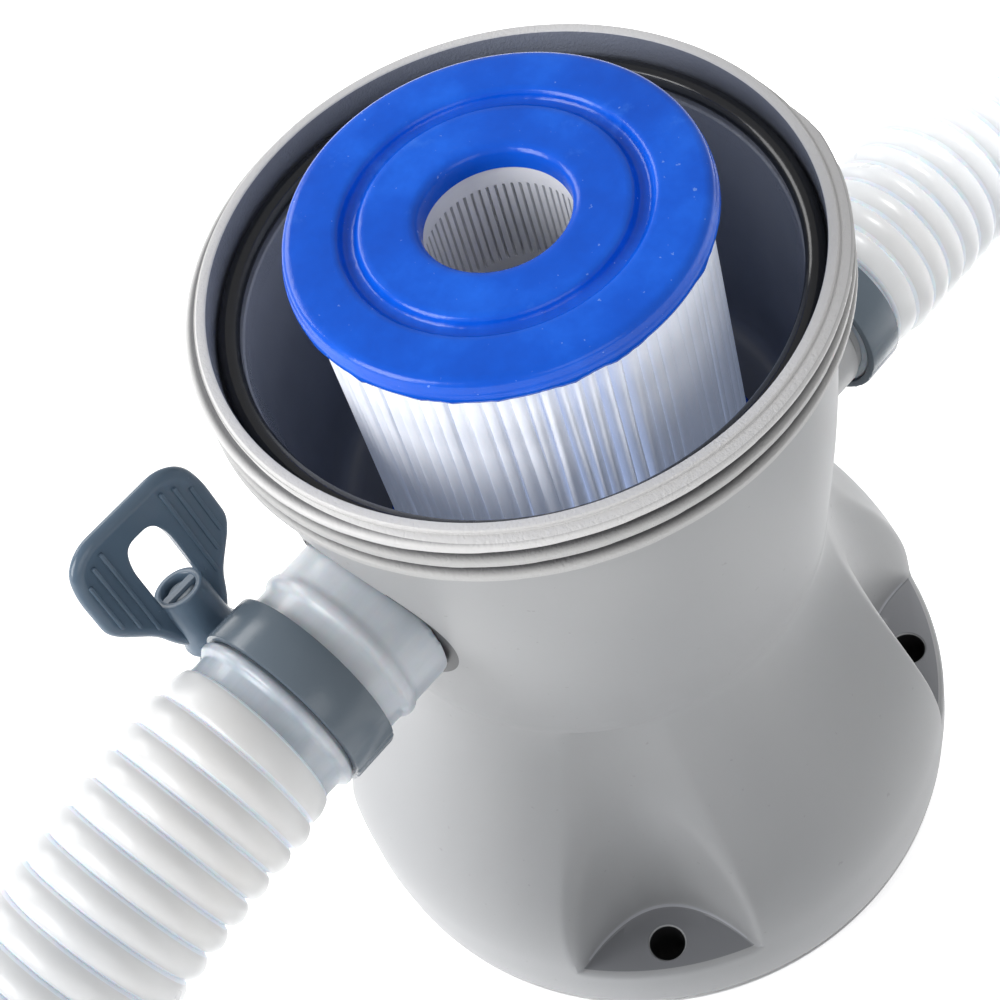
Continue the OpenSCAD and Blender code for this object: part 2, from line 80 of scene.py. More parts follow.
def add_mesh(name, verts, faces, body, smooth=35):
    """A piece on a body, shaded smooth but for edges sharper than the angle."""
    mesh = bpy.data.meshes.new(name)
    mesh.from_pydata((np.asarray(verts, float) * MM).tolist(), [], faces)
    mesh.validate()
    obj = bpy.data.objects.new(name, mesh)
    bpy.context.scene.collection.objects.link(obj)
    face_outwards(mesh)
    for p in mesh.polygons:
        p.use_smooth = True
    mesh.set_sharp_from_angle(angle=math.radians(smooth))
    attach(obj, body)
    return obj


def grid_part(rows, wrap_v=False, caps=False):
    """(verts, faces) of closed rows of points, (n, m, 3). wrap_v joins the last row to the first."""
    rows = np.asarray(rows, float)
    n, m = rows.shape[:2]
    faces = []
    for i in range(n if wrap_v else n - 1):
        a, b = i * m, (i + 1) % n * m
        for k in range(m):
            k1 = (k + 1) % m
            faces.append((a + k, a + k1, b + k1, b + k))
    if caps:
        faces.append(tuple(range(m))[::-1])
        faces.append(tuple(range((n - 1) * m, n * m)))
    return rows.reshape(-1, 3), faces


def grid(name, rows, body, wrap_v=False, caps=False, smooth=35):
    return add_mesh(name, *grid_part(rows, wrap_v, caps), body, smooth)


def merge(parts):
    verts, faces, start = [], [], 0
    for v, f in parts:
        verts.append(np.asarray(v, float).reshape(-1, 3))
        faces += [tuple(i + start for i in q) for q in f]
        start += len(verts[-1])
    return np.concatenate(verts), faces


def revolve_rows(profile, count=128, phase=0.0):
    """profile is [(r, z)]: rows round Z."""
    a = np.arange(count) * TAU / count + phase
    profile = np.asarray(profile, float)
    return np.stack(
        [
            profile[:, :1] * np.cos(a),
            profile[:, :1] * np.sin(a),
            np.repeat(profile[:, 1:], count, 1),
        ],
        -1,
    )


def along_x(rows, side, z):
    """Turns rows made round Z so that their Z runs along side * X, at height z."""
    r = np.asarray(rows, float)
    return np.stack([side * r[..., 2], -side * r[..., 1], r[..., 0] + z], -1)


def rounded(points, radius, steps=4):
    """Rounds the corners of a closed polygon. radius is one number or one for each corner."""
    p = [np.array(q, float) for q in points]
    n = len(p)
    radius = [radius] * n if np.isscalar(radius) else list(radius)
    out = []
    for i in range(n):
        if radius[i] <= 0:
            out.append(p[i])
            continue
        a, b, c = p[i - 1], p[i], p[(i + 1) % n]
        u, v = a - b, c - b
        lu, lv = np.linalg.norm(u), np.linalg.norm(v)
        cut = min(radius[i], lu * 0.49, lv * 0.49)
        s, e = b + u / lu * cut, b + v / lv * cut
        for t in np.linspace(0, 1, steps + 1):
            out.append((1 - t) ** 2 * s + 2 * t * (1 - t) * b + t * t * e)
    return np.array(out)


# ---------------------------------------------------------------- material helpers
class Mat:
    def __init__(self, name, color=(0.5, 0.5, 0.5), rough=0.4, **sockets):
        self.mat = bpy.data.materials.new(name)
        self.mat.use_nodes = True
        self.tree = self.mat.node_tree
        self.bsdf = self.tree.nodes["Principled BSDF"]
        self.bsdf.inputs["Base Color"].default_value = (*color, 1)
        self.bsdf.inputs["Roughness"].default_value = rough
        for key, value in sockets.items():
            self.bsdf.inputs[key.replace("_", " ")].default_value = value

    def node(self, kind, **values):
        n = self.tree.nodes.new(kind)
        for key, value in values.items():
            if key in n.inputs:
                n.inputs[key].default_value = value
            else:
                setattr(n, key, value)
        return n

    def link(self, a, b):
        self.tree.links.new(a, b)

    def coords(self, scale=(1, 1, 1)):
        tex = self.node("ShaderNodeTexCoord")
        mapping = self.node("ShaderNodeMapping")
        mapping.inputs["Scale"].default_value = scale
        self.link(tex.outputs["Object"], mapping.inputs["Vector"])
        return mapping.outputs["Vector"]

    def noise(self, scale, detail=3.0, rough=0.5, stretch=(1, 1, 1)):
        n = self.node("ShaderNodeTexNoise", Scale=scale, Detail=detail, Roughness=rough)
        self.link(self.coords(stretch), n.inputs["Vector"])
        return n.outputs["Fac"]

    def ramp(self, fac, stops):
        r = self.node("ShaderNodeValToRGB")
        e = r.color_ramp.elements
        while len(e) < len(stops):
            e.new(0.5)
        for element, (pos, color) in zip(e, stops):
            element.position = pos
            element.color = (*color, 1) if len(color) == 3 else color
        self.link(fac, r.inputs["Fac"])
        return r.outputs["Color"]

    def mix(self, fac, a, b):
        m = self.node("ShaderNodeMix", data_type="RGBA")
        for value, socket in ((fac, 0), (a, 6), (b, 7)):
            if isinstance(value, (int, float)):
                m.inputs[socket].default_value = value
            elif isinstance(value, tuple):
                m.inputs[socket].default_value = (*value, 1)
            else:
                self.link(value, m.inputs[socket])
        return m.outputs[2]

    def color(self, socket):
        self.link(socket, self.bsdf.inputs["Base Color"])

    def rough(self, fac, low, high):
        m = self.node("ShaderNodeMapRange")
        m.inputs["To Min"].default_value = low
        m.inputs["To Max"].default_value = high
        self.link(fac, m.inputs["Value"])
        self.link(m.outputs["Result"], self.bsdf.inputs["Roughness"])

    def bump(self, layers):
        """layers is [(fac, depth in metres)]."""
        last = None
        for fac, depth in layers:
            b = self.node("ShaderNodeBump", Strength=1.0, Distance=depth)
            self.link(fac, b.inputs["Height"])
            if last:
                self.link(last, b.inputs["Normal"])
            last = b.outputs["Normal"]
        self.link(last, self.bsdf.inputs["Normal"])

    def separate(self):
        tex = self.node("ShaderNodeTexCoord")
        s = self.node("ShaderNodeSeparateXYZ")
        self.link(tex.outputs["Object"], s.inputs[0])
        return s.outputs

    def math(self, op, a, b=0.0, c=0.0):
        m = self.node("ShaderNodeMath", operation=op)
        for value, socket in ((a, 0), (b, 1), (c, 2)):
            if isinstance(value, (int, float)):
                m.inputs[socket].default_value = value
            else:
                self.link(value, m.inputs[socket])
        return m.outputs[0]

    def times(self, first, *others):
        for value in others:
            first = self.math("MULTIPLY", first, value)
        return first

    def over(self, value, limit):
        return self.math("GREATER_THAN", value, limit)

    def under(self, value, limit):
        return self.math("LESS_THAN", value, limit)

    def distance(self, a, b):
        return self.math("SQRT", self.math("ADD", self.times(a, a), self.times(b, b)))


def paint(obj, mat):
    obj.data.materials.clear()
    obj.data.materials.append(mat.mat)


def plastic(name, color, rough=0.42, tint=0.06, speck=0.25, grain=0.00003, scale=900, **kw):
    """Moulded plastic: slow colour drift, fine specks and a fine grain."""
    m = Mat(name, color, rough, **kw)
    c = np.array(color)
    drift = m.noise(14, 3)
    base = m.ramp(drift, [(0.3, tuple(c * (1 - tint))), (0.7, tuple(np.minimum(c * (1 + tint), 1)))])
    specks = m.ramp(m.noise(700, 2, 0.6), [(0.28, (1, 1, 1)), (0.33, (0, 0, 0))])
    m.color(m.mix(m.times(specks, speck), base, tuple(c * 0.55)))
    m.rough(m.noise(260, 4, 0.6), rough - 0.06, rough + 0.06)
    m.bump([(m.noise(scale, 3, 0.6), grain), (m.noise(40, 2), 0.00004)])
    return m


def steel(name, color, rough=0.3, stretch=(1, 1, 14)):
    """Bare metal with fine scratches, drawn out along one axis."""
    m = Mat(name, color, rough, Metallic=1.0)
    c = np.array(color)
    scratch = m.noise(900, 4, 0.7, stretch)
    m.color(m.ramp(scratch, [(0.25, tuple(c * 0.78)), (0.75, tuple(np.minimum(c * 1.12, 1)))]))
    m.rough(scratch, rough - 0.08, rough + 0.12)
    m.bump([(scratch, 0.00002)])
    return m


# ---------------------------------------------------------------- the hoses come first
HOSE_R = 20.5
PITCH = 6.3
HOSE_PER = 12  # rings to a corrugation
HOSE_SIDES = 56
SPIGOT_R = 16.0
BORE_R = 13.0
INLET_Z = 137.0
OUTLET_Z = 82.5
INLET_ROUTE = [
    (-90, 0, 137), (-112, 0, 135), (-136, 0, 131), (-178, 0, 121), (-228, -6, 107),
    (-276, -27, 91), (-317, -59, 72), (-348, -98, 51), (-367, -144, 33),
    (-374, -196, 24), (-368, -242, 21.2), (-349, -287, 20.8), (-317, -326, 20.8),
    (-274, -354, 20.8), (-227, -367, 20.8), (-178, -368, 20.8), (-130, -357, 20.8),
    (-87, -333, 20.8), (-53, -299, 20.8), (-32, -256, 20.8), (-26, -208, 20.8),
    (-33, -154, 20.8), (-58, -103, 20.8), (-98, -66, 20.8), (-145, -48, 20.8),
    (-195, -44, 20.8), (-250, -44, 20.8), (-305, -44, 20.8), (-360, -44, 20.8),
    (-390, -44, 20.8), (-420, -44, 20.8),
]  # fmt: skip
OUTLET_ROUTE = [
    (90, 0, 82.5), (130, 0, 82), (172, 0, 81), (216, 0, 79),
    (266, -6, 74), (314, -27, 65), (355, -59, 51), (386, -98, 35),
    (405, -144, 23.8), (412, -196, 20.8), (406, -242, 20.8), (387, -287, 20.8),
    (355, -326, 20.8), (312, -354, 20.8), (265, -367, 20.8), (216, -368, 20.8),
    (168, -357, 20.8), (125, -333, 20.8), (91, -299, 20.8), (70, -256, 20.8),
    (64, -208, 20.8), (71, -154, 20.8), (96, -103, 20.8), (136, -66, 20.8),
    (183, -48, 20.8), (233, -44, 20.8), (285, -44, 20.8), (335, -44, 20.8),
    (385, -44, 20.8), (410, -44, 20.8), (435, -44, 20.8),
]  # fmt: skip


def smooth_path(points, first, last):
    """A dense smooth line through the points, as a Hermite spline with the given end directions."""
    p = np.array(points, float)
    d = np.r_[0, np.cumsum(np.linalg.norm(np.diff(p, axis=0), axis=1))]
    tan = np.zeros_like(p)
    for i in range(1, len(p) - 1):
        h0, h1 = d[i] - d[i - 1], d[i + 1] - d[i]
        tan[i] = ((p[i] - p[i - 1]) / h0 * h1 + (p[i + 1] - p[i]) / h1 * h0) / (h0 + h1)
    tan[0], tan[-1] = first, last
    out = []
    for i in range(len(p) - 1):
        h = d[i + 1] - d[i]
        for t in np.linspace(0, 1, max(8, int(h * 2)), endpoint=False):
            a, b = 2 * t**3 - 3 * t**2 + 1, t**3 - 2 * t**2 + t
            c, e = -2 * t**3 + 3 * t**2, t**3 - t**2
            out.append(a * p[i] + b * h * tan[i] + c * p[i + 1] + e * h * tan[i + 1])
    out.append(p[-1])
    return np.array(out)


def resample(line, stations):
    d = np.r_[0, np.cumsum(np.linalg.norm(np.diff(line, axis=0), axis=1))]
    return np.stack([np.interp(stations, d, line[:, k]) for k in range(3)], -1)


def line_length(line):
    return float(np.linalg.norm(np.diff(line, axis=0), axis=1).sum())


def frames(centre):
    """Two directions across the line, sideways and up."""
    t = np.gradient(centre, axis=0)
    t /= np.linalg.norm(t, axis=1)[:, None]
    side = np.cross([0, 0, 1], t)
    side /= np.linalg.norm(side, axis=1)[:, None]
    return side, np.cross(t, side)


def corrugated(name, route, first, last, body):
    """A hose along a route: the piece, the points of its centre line and its length."""
    line = smooth_path(route, first, last)
    total = line_length(line)
    periods = round(total / PITCH)
    pitch = total / periods
    s = np.linspace(0, total, periods * HOSE_PER + 1)
    centre = resample(line, s)
    side, lift = frames(centre)
    u = (s / pitch) % 1.0
    # rounded crests with narrow valleys
    wave = np.sqrt(np.abs(np.sin(math.pi * u)))
    # the hose starts as narrow as the cuff, and its first crests are shallower
    narrow = 1.5 * (1 - ease(s / 11))
    depth = 1.1 + 1.3 * ease(s / 24)
    radius = HOSE_R - narrow - depth * (1 - wave)
    a = np.arange(HOSE_SIDES) * TAU / HOSE_SIDES
    wobble = 0.10 * np.sin(s * 0.031)[:, None] * np.cos(2 * a)[None, :]
    rr = radius[:, None] + wobble
    rows = (
        centre[:, None, :]
        + (rr * np.cos(a))[..., None] * side[:, None, :]
        + (rr * np.sin(a))[..., None] * lift[:, None, :]
    )
    obj = grid(name, rows, body, caps=True, smooth=60)
    return obj, centre[::5], total


hoses = {}
for key, route, side in (("inlet", INLET_ROUTE, -1), ("outlet", OUTLET_ROUTE, 1)):
    outwards = (side, 0, 0)
    tube, centre, total = corrugated(f"{key}_corrugated_hose", route, outwards, outwards, "housing")
    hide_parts(f"{key}_hose")
    hoses[key] = (tube, centre, total)

# ---------------------------------------------------------------- housing
RIM_Z = 187.3
FLOOR_Z = 115.8
LEDGE_Z = 178.0
CREASE_Z = 99.0
NECK_R = 52.3
BASE_R = 74.8
BODY_R = 58.6
POCKET_Z = 20.0
MOUNT_RHO = 67.2
THREAD_ROOT = 59.9
THREAD_R = 63.55
THREAD_TOP = 186.1
THREAD_PITCH = 4.6
THREAD_TURNS = 2.72
THREAD_START = math.radians(-8)
RIM_R = 61.3
POCKETS = [math.radians(a) for a in (45, 135, 225, 315)]
NO_POCKET = 400.0
POCKET_HALF = 0.62  # half a pocket's angle, in radians
HOLE_R = 4.0
SOCKET_R = 19.3


def wall_radius(z):
    """Outside radius of the plain body at a height."""
    low = NECK_R + (BASE_R - NECK_R) * (0.5 + 0.5 * np.cos(math.pi * np.clip((z - 22) / 77, 0, 1)))
    high = NECK_R + (BODY_R - NECK_R) * np.sin(math.pi / 2 * np.clip((z - CREASE_Z) / 66, 0, 1))
    foot = BASE_R - 0.9 * np.clip((12 - z) / 11, 0, 1) - 1.0 * np.clip((3.4 - z) / 2.4, 0, 1) ** 2
    r = np.where(z < 22, foot, np.where(z < CREASE_Z, low, high))
    # a small rounding at the crease
    return r + 0.35 * np.exp(-(((z - CREASE_Z) / 1.6) ** 2))


def soft_min(a, b, k):
    h = np.clip(0.5 + 0.5 * (b - a) / k, 0, 1)
    return b * (1 - h) + a * h - k * h * (1 - h)


def pocket_radius(angle, z):
    """Radius of the nearest pocket's back wall along each direction, or a large number clear of it."""
    out = np.full(np.broadcast(angle, z).shape, NO_POCKET)
    rise = np.clip((z - POCKET_Z) / 65, 0, 2)
    for p in POCKETS:
        d = (angle - p + math.pi) % TAU - math.pi
        s, c = np.sin(d), np.cos(d)
        rho = 58.0 - 3.4 * rise - 1.2 * rise**2
        q = 31.0 + 3 * np.clip(rise, 0, 1)
        # where the ray meets the parabola x = rho + y * y / q
        k = s * s / q
        disc = c * c - 4 * k * rho
        bent = (c - np.sqrt(np.maximum(disc, 0))) / np.maximum(2 * k, 1e-9)
        r = np.where(k < 1e-7, rho / np.maximum(c, 1e-3), bent)
        r = np.where((disc > 0) & (np.abs(d) < POCKET_HALF), r, NO_POCKET)
        out = np.minimum(out, np.clip(r, 0, NO_POCKET))
    return out


def thread_radius(angle, z):
    """The rim's outside: a thread of nearly three turns out of the top edge, with a sharp lower edge."""
    turn = ((THREAD_START - angle) % TAU) / TAU
    root = BODY_R + (THREAD_ROOT - BODY_R) * smooth_step((z - 172.8) / 1.0)
    out = root + (RIM_R - root) * smooth_step((z - 185.2) / 0.8)
    for lap in (0, 1, 2):
        t = turn + lap
        h = z - (THREAD_TOP - THREAD_PITCH * t)
        tooth = smooth_step(np.minimum((h + 0.1) / 0.3, (3.5 - h) / 2.2))
        grow = ease(t / 0.07) * ease((THREAD_TURNS - t) / 0.14)
        out = np.maximum(out, root + (THREAD_R - root) * tooth * grow)
    return out


def housing_rows(count):
    """The shell from its underside up the outside, over the rim and down the inside to the suction tube."""
    a = np.arange(count) * TAU / count
    rows = []

    def ring(r, z):
        rr = np.broadcast_to(np.asarray(r, float), a.shape)
        zz = np.broadcast_to(np.asarray(z, float), a.shape)
        rows.append(np.stack([rr * np.cos(a), rr * np.sin(a), zz], -1))

    def scooped(z, k=3.6):
        w = wall_radius(np.full_like(a, z))
        k = k * (1 + 0.9 * np.clip((z - POCKET_Z) / 60, 0, 1))
        return soft_min(w, pocket_radius(a, np.full_like(a, z)), k)

    # closed underside above the base plate, then the skirt
    for r in (1.0, 20.0, 45.0, 62.0, 71.4):
        ring(r, 6.6)
    ring(71.9, 6.2)
    ring(71.9, 1.6)
    ring(72.3, 1.0)
    ring(73.0, 1.0)
    for z in (1.5, 2.2, 3.2, 5, 8, 12, 15, 17.5, 18.8):
        ring(wall_radius(np.array(z)), z)
    w = wall_radius(np.full_like(a, POCKET_Z))
    deep = scooped(POCKET_Z)
    inside = ease((w - deep) / 1.6)
    # floor of the pockets with soft edges, flat in between
    front = w - 1.35 * inside
    ring(w - 0.25 * inside, 19.5)
    ring(w - 0.75 * inside, 19.9)
    ring(front, POCKET_Z)
    for t in (0.25, 0.5, 0.75):
        ring(front * (1 - t) + np.minimum(deep + 1.3, front) * t, POCKET_Z)
    ring(np.minimum(deep + 1.1 * inside, w), POCKET_Z + 0.02)
    ring(np.minimum(deep + 0.45 * inside, w), POCKET_Z + 0.35)
    ring(np.minimum(deep + 0.1 * inside, w), POCKET_Z + 0.95)
    below_crease = np.r_[21.8, 23, 24.5, np.arange(26, CREASE_Z - 2, 1.5)]
    for z in np.r_[below_crease, np.arange(97.4, 101, 0.4), np.arange(102, 172, 3.0)]:
        ring(scooped(z) if z < CREASE_Z - 2 else wall_radius(np.full_like(a, z)), z)
    ring(BODY_R, 172.0)
    for z in np.arange(172.4, 185.75, 0.15):
        ring(thread_radius(a, np.full_like(a, z)), z)
    for r, z in ((63.5, 185.9), (63.3, 186.15), (62.8, 186.35), (62.1, 186.5)):
        ring(np.minimum(thread_radius(a, np.full_like(a, z)), r), z)
    ring(RIM_R, 186.62)
    ring(61.1, 186.55)
    ring(60.95, 186.62)
    ring(60.9, 187.1)
    ring(60.65, RIM_Z)
    ring(59.4, RIM_Z)
    ring(59.0, 187.15)
    ring(58.8, 186.8)
    ring(58.85, 183)
    ring(58.9, 178.5)
    ring(58.5, LEDGE_Z)
    ring(54.9, LEDGE_Z)
    ring(54.3, 177.9)
    ring(53.95, 177.5)
    ring(53.9, 176.8)
    ring(53.8, 172)
    for z in (165, 155, 145, 135, 127, 124):
        ring(52.6 + 1.2 * (z - 124) / 48, z)
    ring(52.2, 120.6)
    ring(51.2, 118.2)
    ring(49.6, 116.6)
    ring(47.6, 115.9)
    ring(46.0, FLOOR_Z)
    ring(30.0, FLOOR_Z)
    ring(8.3, FLOOR_Z)
    ring(7.95, 115.4)
    ring(7.95, 92.5)
    ring(3.0, 92.4)
    return rows


def cutter(rows):
    verts, faces = grid_part(rows, caps=True)
    mesh = bpy.data.meshes.new("cut")
    mesh.from_pydata((verts * MM).tolist(), [], faces)
    obj = bpy.data.objects.new("cut", mesh)
    bpy.context.scene.collection.objects.link(obj)
    face_outwards(mesh)
    return obj


def carve(obj, cutters):
    """Cuts the closed cutters out of obj's own mesh and removes them."""
    for c in cutters:
        mod = obj.modifiers.new("carve", "BOOLEAN")
        mod.operation = "DIFFERENCE"
        mod.solver = "EXACT"
        mod.object = c
    depsgraph = bpy.context.evaluated_depsgraph_get()
    mesh = bpy.data.meshes.new_from_object(obj.evaluated_get(depsgraph))
    obj.modifiers.clear()
    old = obj.data
    obj.data = mesh
    bpy.data.meshes.remove(old)
    for c in cutters:
        data = c.data
        bpy.data.objects.remove(c)
        bpy.data.meshes.remove(data)


housing = grid("housing_shell", housing_rows(560), "housing", caps=True, smooth=32)
cuts = []
for p in POCKETS:
    hole = revolve_rows([(HOLE_R, 5.0), (HOLE_R, 19.2), (4.15, 19.6), (4.9, 20.4)], 48)
    hole[..., 0] += MOUNT_RHO * math.cos(p)
    hole[..., 1] += MOUNT_RHO * math.sin(p)
    cuts.append(cutter(hole))
# the inlet's socket and its bore
cuts.append(cutter(along_x(revolve_rows([(SOCKET_R, 54.9), (SOCKET_R, 62.0)], 96), -1, INLET_Z)))
cuts.append(cutter(along_x(revolve_rows([(BORE_R, 46.0), (BORE_R, 60.0)], 64), -1, INLET_Z)))
carve(housing, cuts)
housing.data.set_sharp_from_angle(angle=math.radians(32))

spigot_profile = [
    (BORE_R, 50.0), (SPIGOT_R, 50.0), (SPIGOT_R, 87.4), (15.6, 88.0), (13.4, 88.0), (BORE_R, 87.6),
]  # fmt: skip
inlet_spigot = grid(
    "inlet_spigot", along_x(revolve_rows(spigot_profile, 96), -1, INLET_Z), "housing", wrap_v=True
)
neck_profile = [
    (BORE_R, 44.0), (19.2, 49.5), (18.0, 54.0), (17.2, 57.0), (16.8, 60.0), (16.8, 75.9), (16.3, 76.4),
    (SPIGOT_R, 76.8), (SPIGOT_R, 89.3), (15.6, 89.8), (13.4, 89.8), (BORE_R, 89.4),
]  # fmt: skip
outlet_neck = grid(
    "outlet_neck", along_x(revolve_rows(neck_profile, 96), 1, OUTLET_Z), "housing", wrap_v=True
)

# bosses that stand on the ground round the mounting holes
boss_profile = [(HOLE_R, 0.25), (4.25, 0.0), (5.75, 0.0), (6.0, 0.25), (6.0, 7.2), (HOLE_R, 7.2)]
boss_parts = []
for p in POCKETS:
    place = np.array([MOUNT_RHO * math.cos(p), MOUNT_RHO * math.sin(p), 0])
    boss_parts.append(grid_part(revolve_rows(boss_profile, 48) + place, wrap_v=True))
bosses = add_mesh("mounting_bosses", *merge(boss_parts), "housing", smooth=40)

# ---------------------------------------------------------------- seal ring
SEAL_R, SEAL_Z, SEAL_TUBE, SEAL_SIDES = 56.3, 180.1, 2.1, 28
seal_profile = []
for t in np.arange(SEAL_SIDES) * TAU / SEAL_SIDES:
    seal_profile.append((SEAL_R + SEAL_TUBE * math.cos(t), SEAL_Z + SEAL_TUBE * math.sin(t)))
seal = grid("lid_seal", revolve_rows(seal_profile, 256), "housing", wrap_v=True, smooth=40)
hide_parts("lid_seal_ring")

# ---------------------------------------------------------------- cartridge
FOOT = Vector((-3.0, -5.0, 116.5))
LEAN = Matrix.Rotation(math.radians(90), 3, "Z") @ Matrix.Rotation(math.radians(0.75), 3, "Y")
LEAN_NP = np.array(LEAN)
CART_H = 90.0
CAP_H = 5.5


def in_cartridge(rows):
    return np.asarray(rows) @ LEAN_NP.T + np.array(FOOT)


def noise_round(angles, scale, seed):
    """Noise along a circle, one value to an angle."""
    return np.array([noise.noise(Vector((math.cos(t) * scale, math.sin(t) * scale, seed))) for t in angles])


def cap_rows(count=220, flip=False):
    """The cast end cap, up from its inner face: bore, moulded channel, rounded rim, stepped skirt."""
    top = CAP_H
    profile = [
        (14.0, 0.6), (14.0, top - 3.0), (14.1, top - 1.6), (14.5, top - 0.75), (15.2, top - 0.28),
        (16.0, top - 0.12), (17.2, top - 0.1), (20.5, top - 0.16), (23.6, top - 0.1),
        (24.7, top - 0.12), (25.2, top - 0.4), (25.5, top - 1.0), (25.8, top - 1.75), (26.4, top - 2.1),
        (27.6, top - 2.15), (28.3, top - 1.9), (28.6, top - 1.1), (28.9, top - 0.45),
        (29.4, top - 0.15), (30.2, top - 0.06), (34.0, top - 0.1), (37.4, top - 0.12),
        (38.4, top - 0.26), (39.1, top - 0.7), (39.45, top - 1.4), (39.55, top - 2.4),
        (39.75, top - 2.75), (39.95, top - 3.2), (40.0, top - 4.2), (39.95, 1.2), (39.7, 0.55),
        (39.2, 0.2), (38.3, 0.15), (37.6, 0.9), (36.0, 1.2), (18.0, 1.2),
    ]  # fmt: skip
    rows = revolve_rows(profile, count)
    ang = np.arange(count) * TAU / count
    for i, (r, z) in enumerate(profile):
        if z <= 1.3 and r > 36:
            # ragged casting flash under the rim
            coarse = noise_round(ang, 9, 1.7 + (9 if flip else 0))
            rows[i, :, 2] -= np.maximum(0, coarse * 0.9 + noise_round(ang, 30, 4.1) * 0.35)
        if 25.3 < r < 28.8:
            rows[i, :, 2] += 0.12 * noise_round(ang, 40, 0.3)
    if flip:
        rows[..., 2] *= -1
    return rows


top_rows = cap_rows()
top_rows[..., 2] += CART_H - CAP_H
top_cap = grid("cartridge_cap_top", in_cartridge(top_rows), "cartridge", wrap_v=True, smooth=50)
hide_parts("cartridge_top_cap")
low_rows = cap_rows(flip=True)
low_rows[..., 2] += CAP_H
low_cap = grid("cartridge_cap_bottom", in_cartridge(low_rows), "cartridge", wrap_v=True, smooth=50)
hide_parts("cartridge_bottom_cap")

# the pleated cloth: irregular folds, leaning a little and drifting along their height
N_PLEATS = 98
PER_PLEAT = 10
n_around = N_PLEATS * PER_PLEAT
PLEAT_R = 37.35
IN_CAP = 0.6  # how far the cloth runs into each cap
levels = np.linspace(CAP_H - IN_CAP, CART_H - CAP_H + IN_CAP, 28)
# wide smooth folds on one side, tight ones on the other, and a few that stand apart between them
round_at = (np.arange(N_PLEATS) + 0.5) / N_PLEATS
tight = ease((round_at - 0.46) / 0.08) * ease((0.86 - round_at) / 0.10)
edges = np.cumsum(rng.uniform(0.8, 1.2, N_PLEATS) * (1.25 - 0.55 * tight))
edges = np.r_[0, edges / edges[-1]] * TAU
middle = (edges[:-1] + edges[1:]) / 2
depth = rng.uniform(0.82, 1.0, N_PLEATS)
open_here = np.exp(-(((middle - math.radians(157)) / 0.27) ** 2))
gap = 0.75 * depth + open_here * (0.8 + 4.2 * rng.uniform(0, 1, N_PLEATS) ** 1.6) + 0.5 * tight
lean = rng.uniform(-0.3, 0.3, N_PLEATS)
tip = rng.uniform(-0.35, 0.25, N_PLEATS)
wander = rng.uniform(0, TAU, N_PLEATS)
pleat_rows = []
for z in levels:
    ring = []
    v = (z - levels[0]) / (levels[-1] - levels[0])
    mid = math.sin(math.pi * v)
    for j in range(N_PLEATS):
        a0, a1 = edges[j], edges[j + 1]
        width = a1 - a0
        sharpness = 0.34 + 0.75 * open_here[j]
        for k in range(PER_PLEAT):
            u = k / PER_PLEAT
            fold = abs(math.sin(math.pi * u)) ** sharpness
            r = PLEAT_R + tip[j] - (1 - fold) * gap[j] * (0.9 + 0.1 * mid)
            shift = lean[j] * width * fold * mid + 0.10 * width * math.sin(3.1 * v + wander[j]) * mid
            ang = a0 + u * width + shift
            ring.append((r * math.cos(ang), r * math.sin(ang), z))
    pleat_rows.append(ring)
pleat_rows = np.array(pleat_rows)
inner_ring = revolve_rows([(19.0, levels[-1]), (19.0, levels[0])], n_around)
pleats = grid(
    "cartridge_pleated_cloth",
    in_cartridge(np.concatenate([pleat_rows, inner_ring])),
    "cartridge", wrap_v=True, smooth=55,
)
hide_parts("cartridge_pleats")

# the core: a white cage of fine upright bars with a few hoops
BARS = 60
PER_BAR = 8
CORE_BORE, CORE_SLOT, CORE_OUT = 14.9, 16.2, 17.4
CORE_ENDS = (5.8, 84.2)
core_steps = np.arange(BARS * PER_BAR)
core_angle = core_steps * TAU / len(core_steps)
slotted = np.where(core_steps % PER_BAR < 2, CORE_SLOT, CORE_BORE)
whole = np.full_like(core_angle, CORE_BORE)
outside = np.full_like(core_angle, CORE_OUT)
hoops = [(CORE_ENDS[0], 12.0), (33.0, 36.0), (57.0, 60.0), (80.0, 83.0)]
core_rows = []


def core_ring(r, z):
    up = np.full_like(core_angle, z)
    core_rows.append(np.stack([r * np.cos(core_angle), r * np.sin(core_angle), up], -1))


core_ring(outside, CORE_ENDS[0])
for i, (lo, hi) in enumerate(hoops):
    core_ring(whole, lo)
    core_ring(whole, hi)
    if i < len(hoops) - 1:
        core_ring(slotted, hi + 0.4)
        core_ring(slotted, hoops[i + 1][0] - 0.4)
core_ring(whole, CORE_ENDS[1])
core_ring(outside, CORE_ENDS[1])
core = grid("cartridge_core_cage", in_cartridge(core_rows), "cartridge", wrap_v=True, smooth=30)
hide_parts("cartridge_core")

# ---------------------------------------------------------------- cuffs
INLET_CLAMP_X = 77.8
OUTLET_CLAMP_X = 83.0
BAND_W = 10.4


def cuff_rows(profile, side, z, seed):
    """A hose cuff whose two ends are a little ragged."""
    rows = revolve_rows(profile, 144)
    ang = np.arange(144) * TAU / 144
    ragged = 0.22 * noise_round(ang, 12, seed) + 0.10 * noise_round(ang, 45, seed + 3)
    for i in (0, 1, 2, -1):
        rows[i, :, 2] += ragged
    return along_x(rows, side, z)


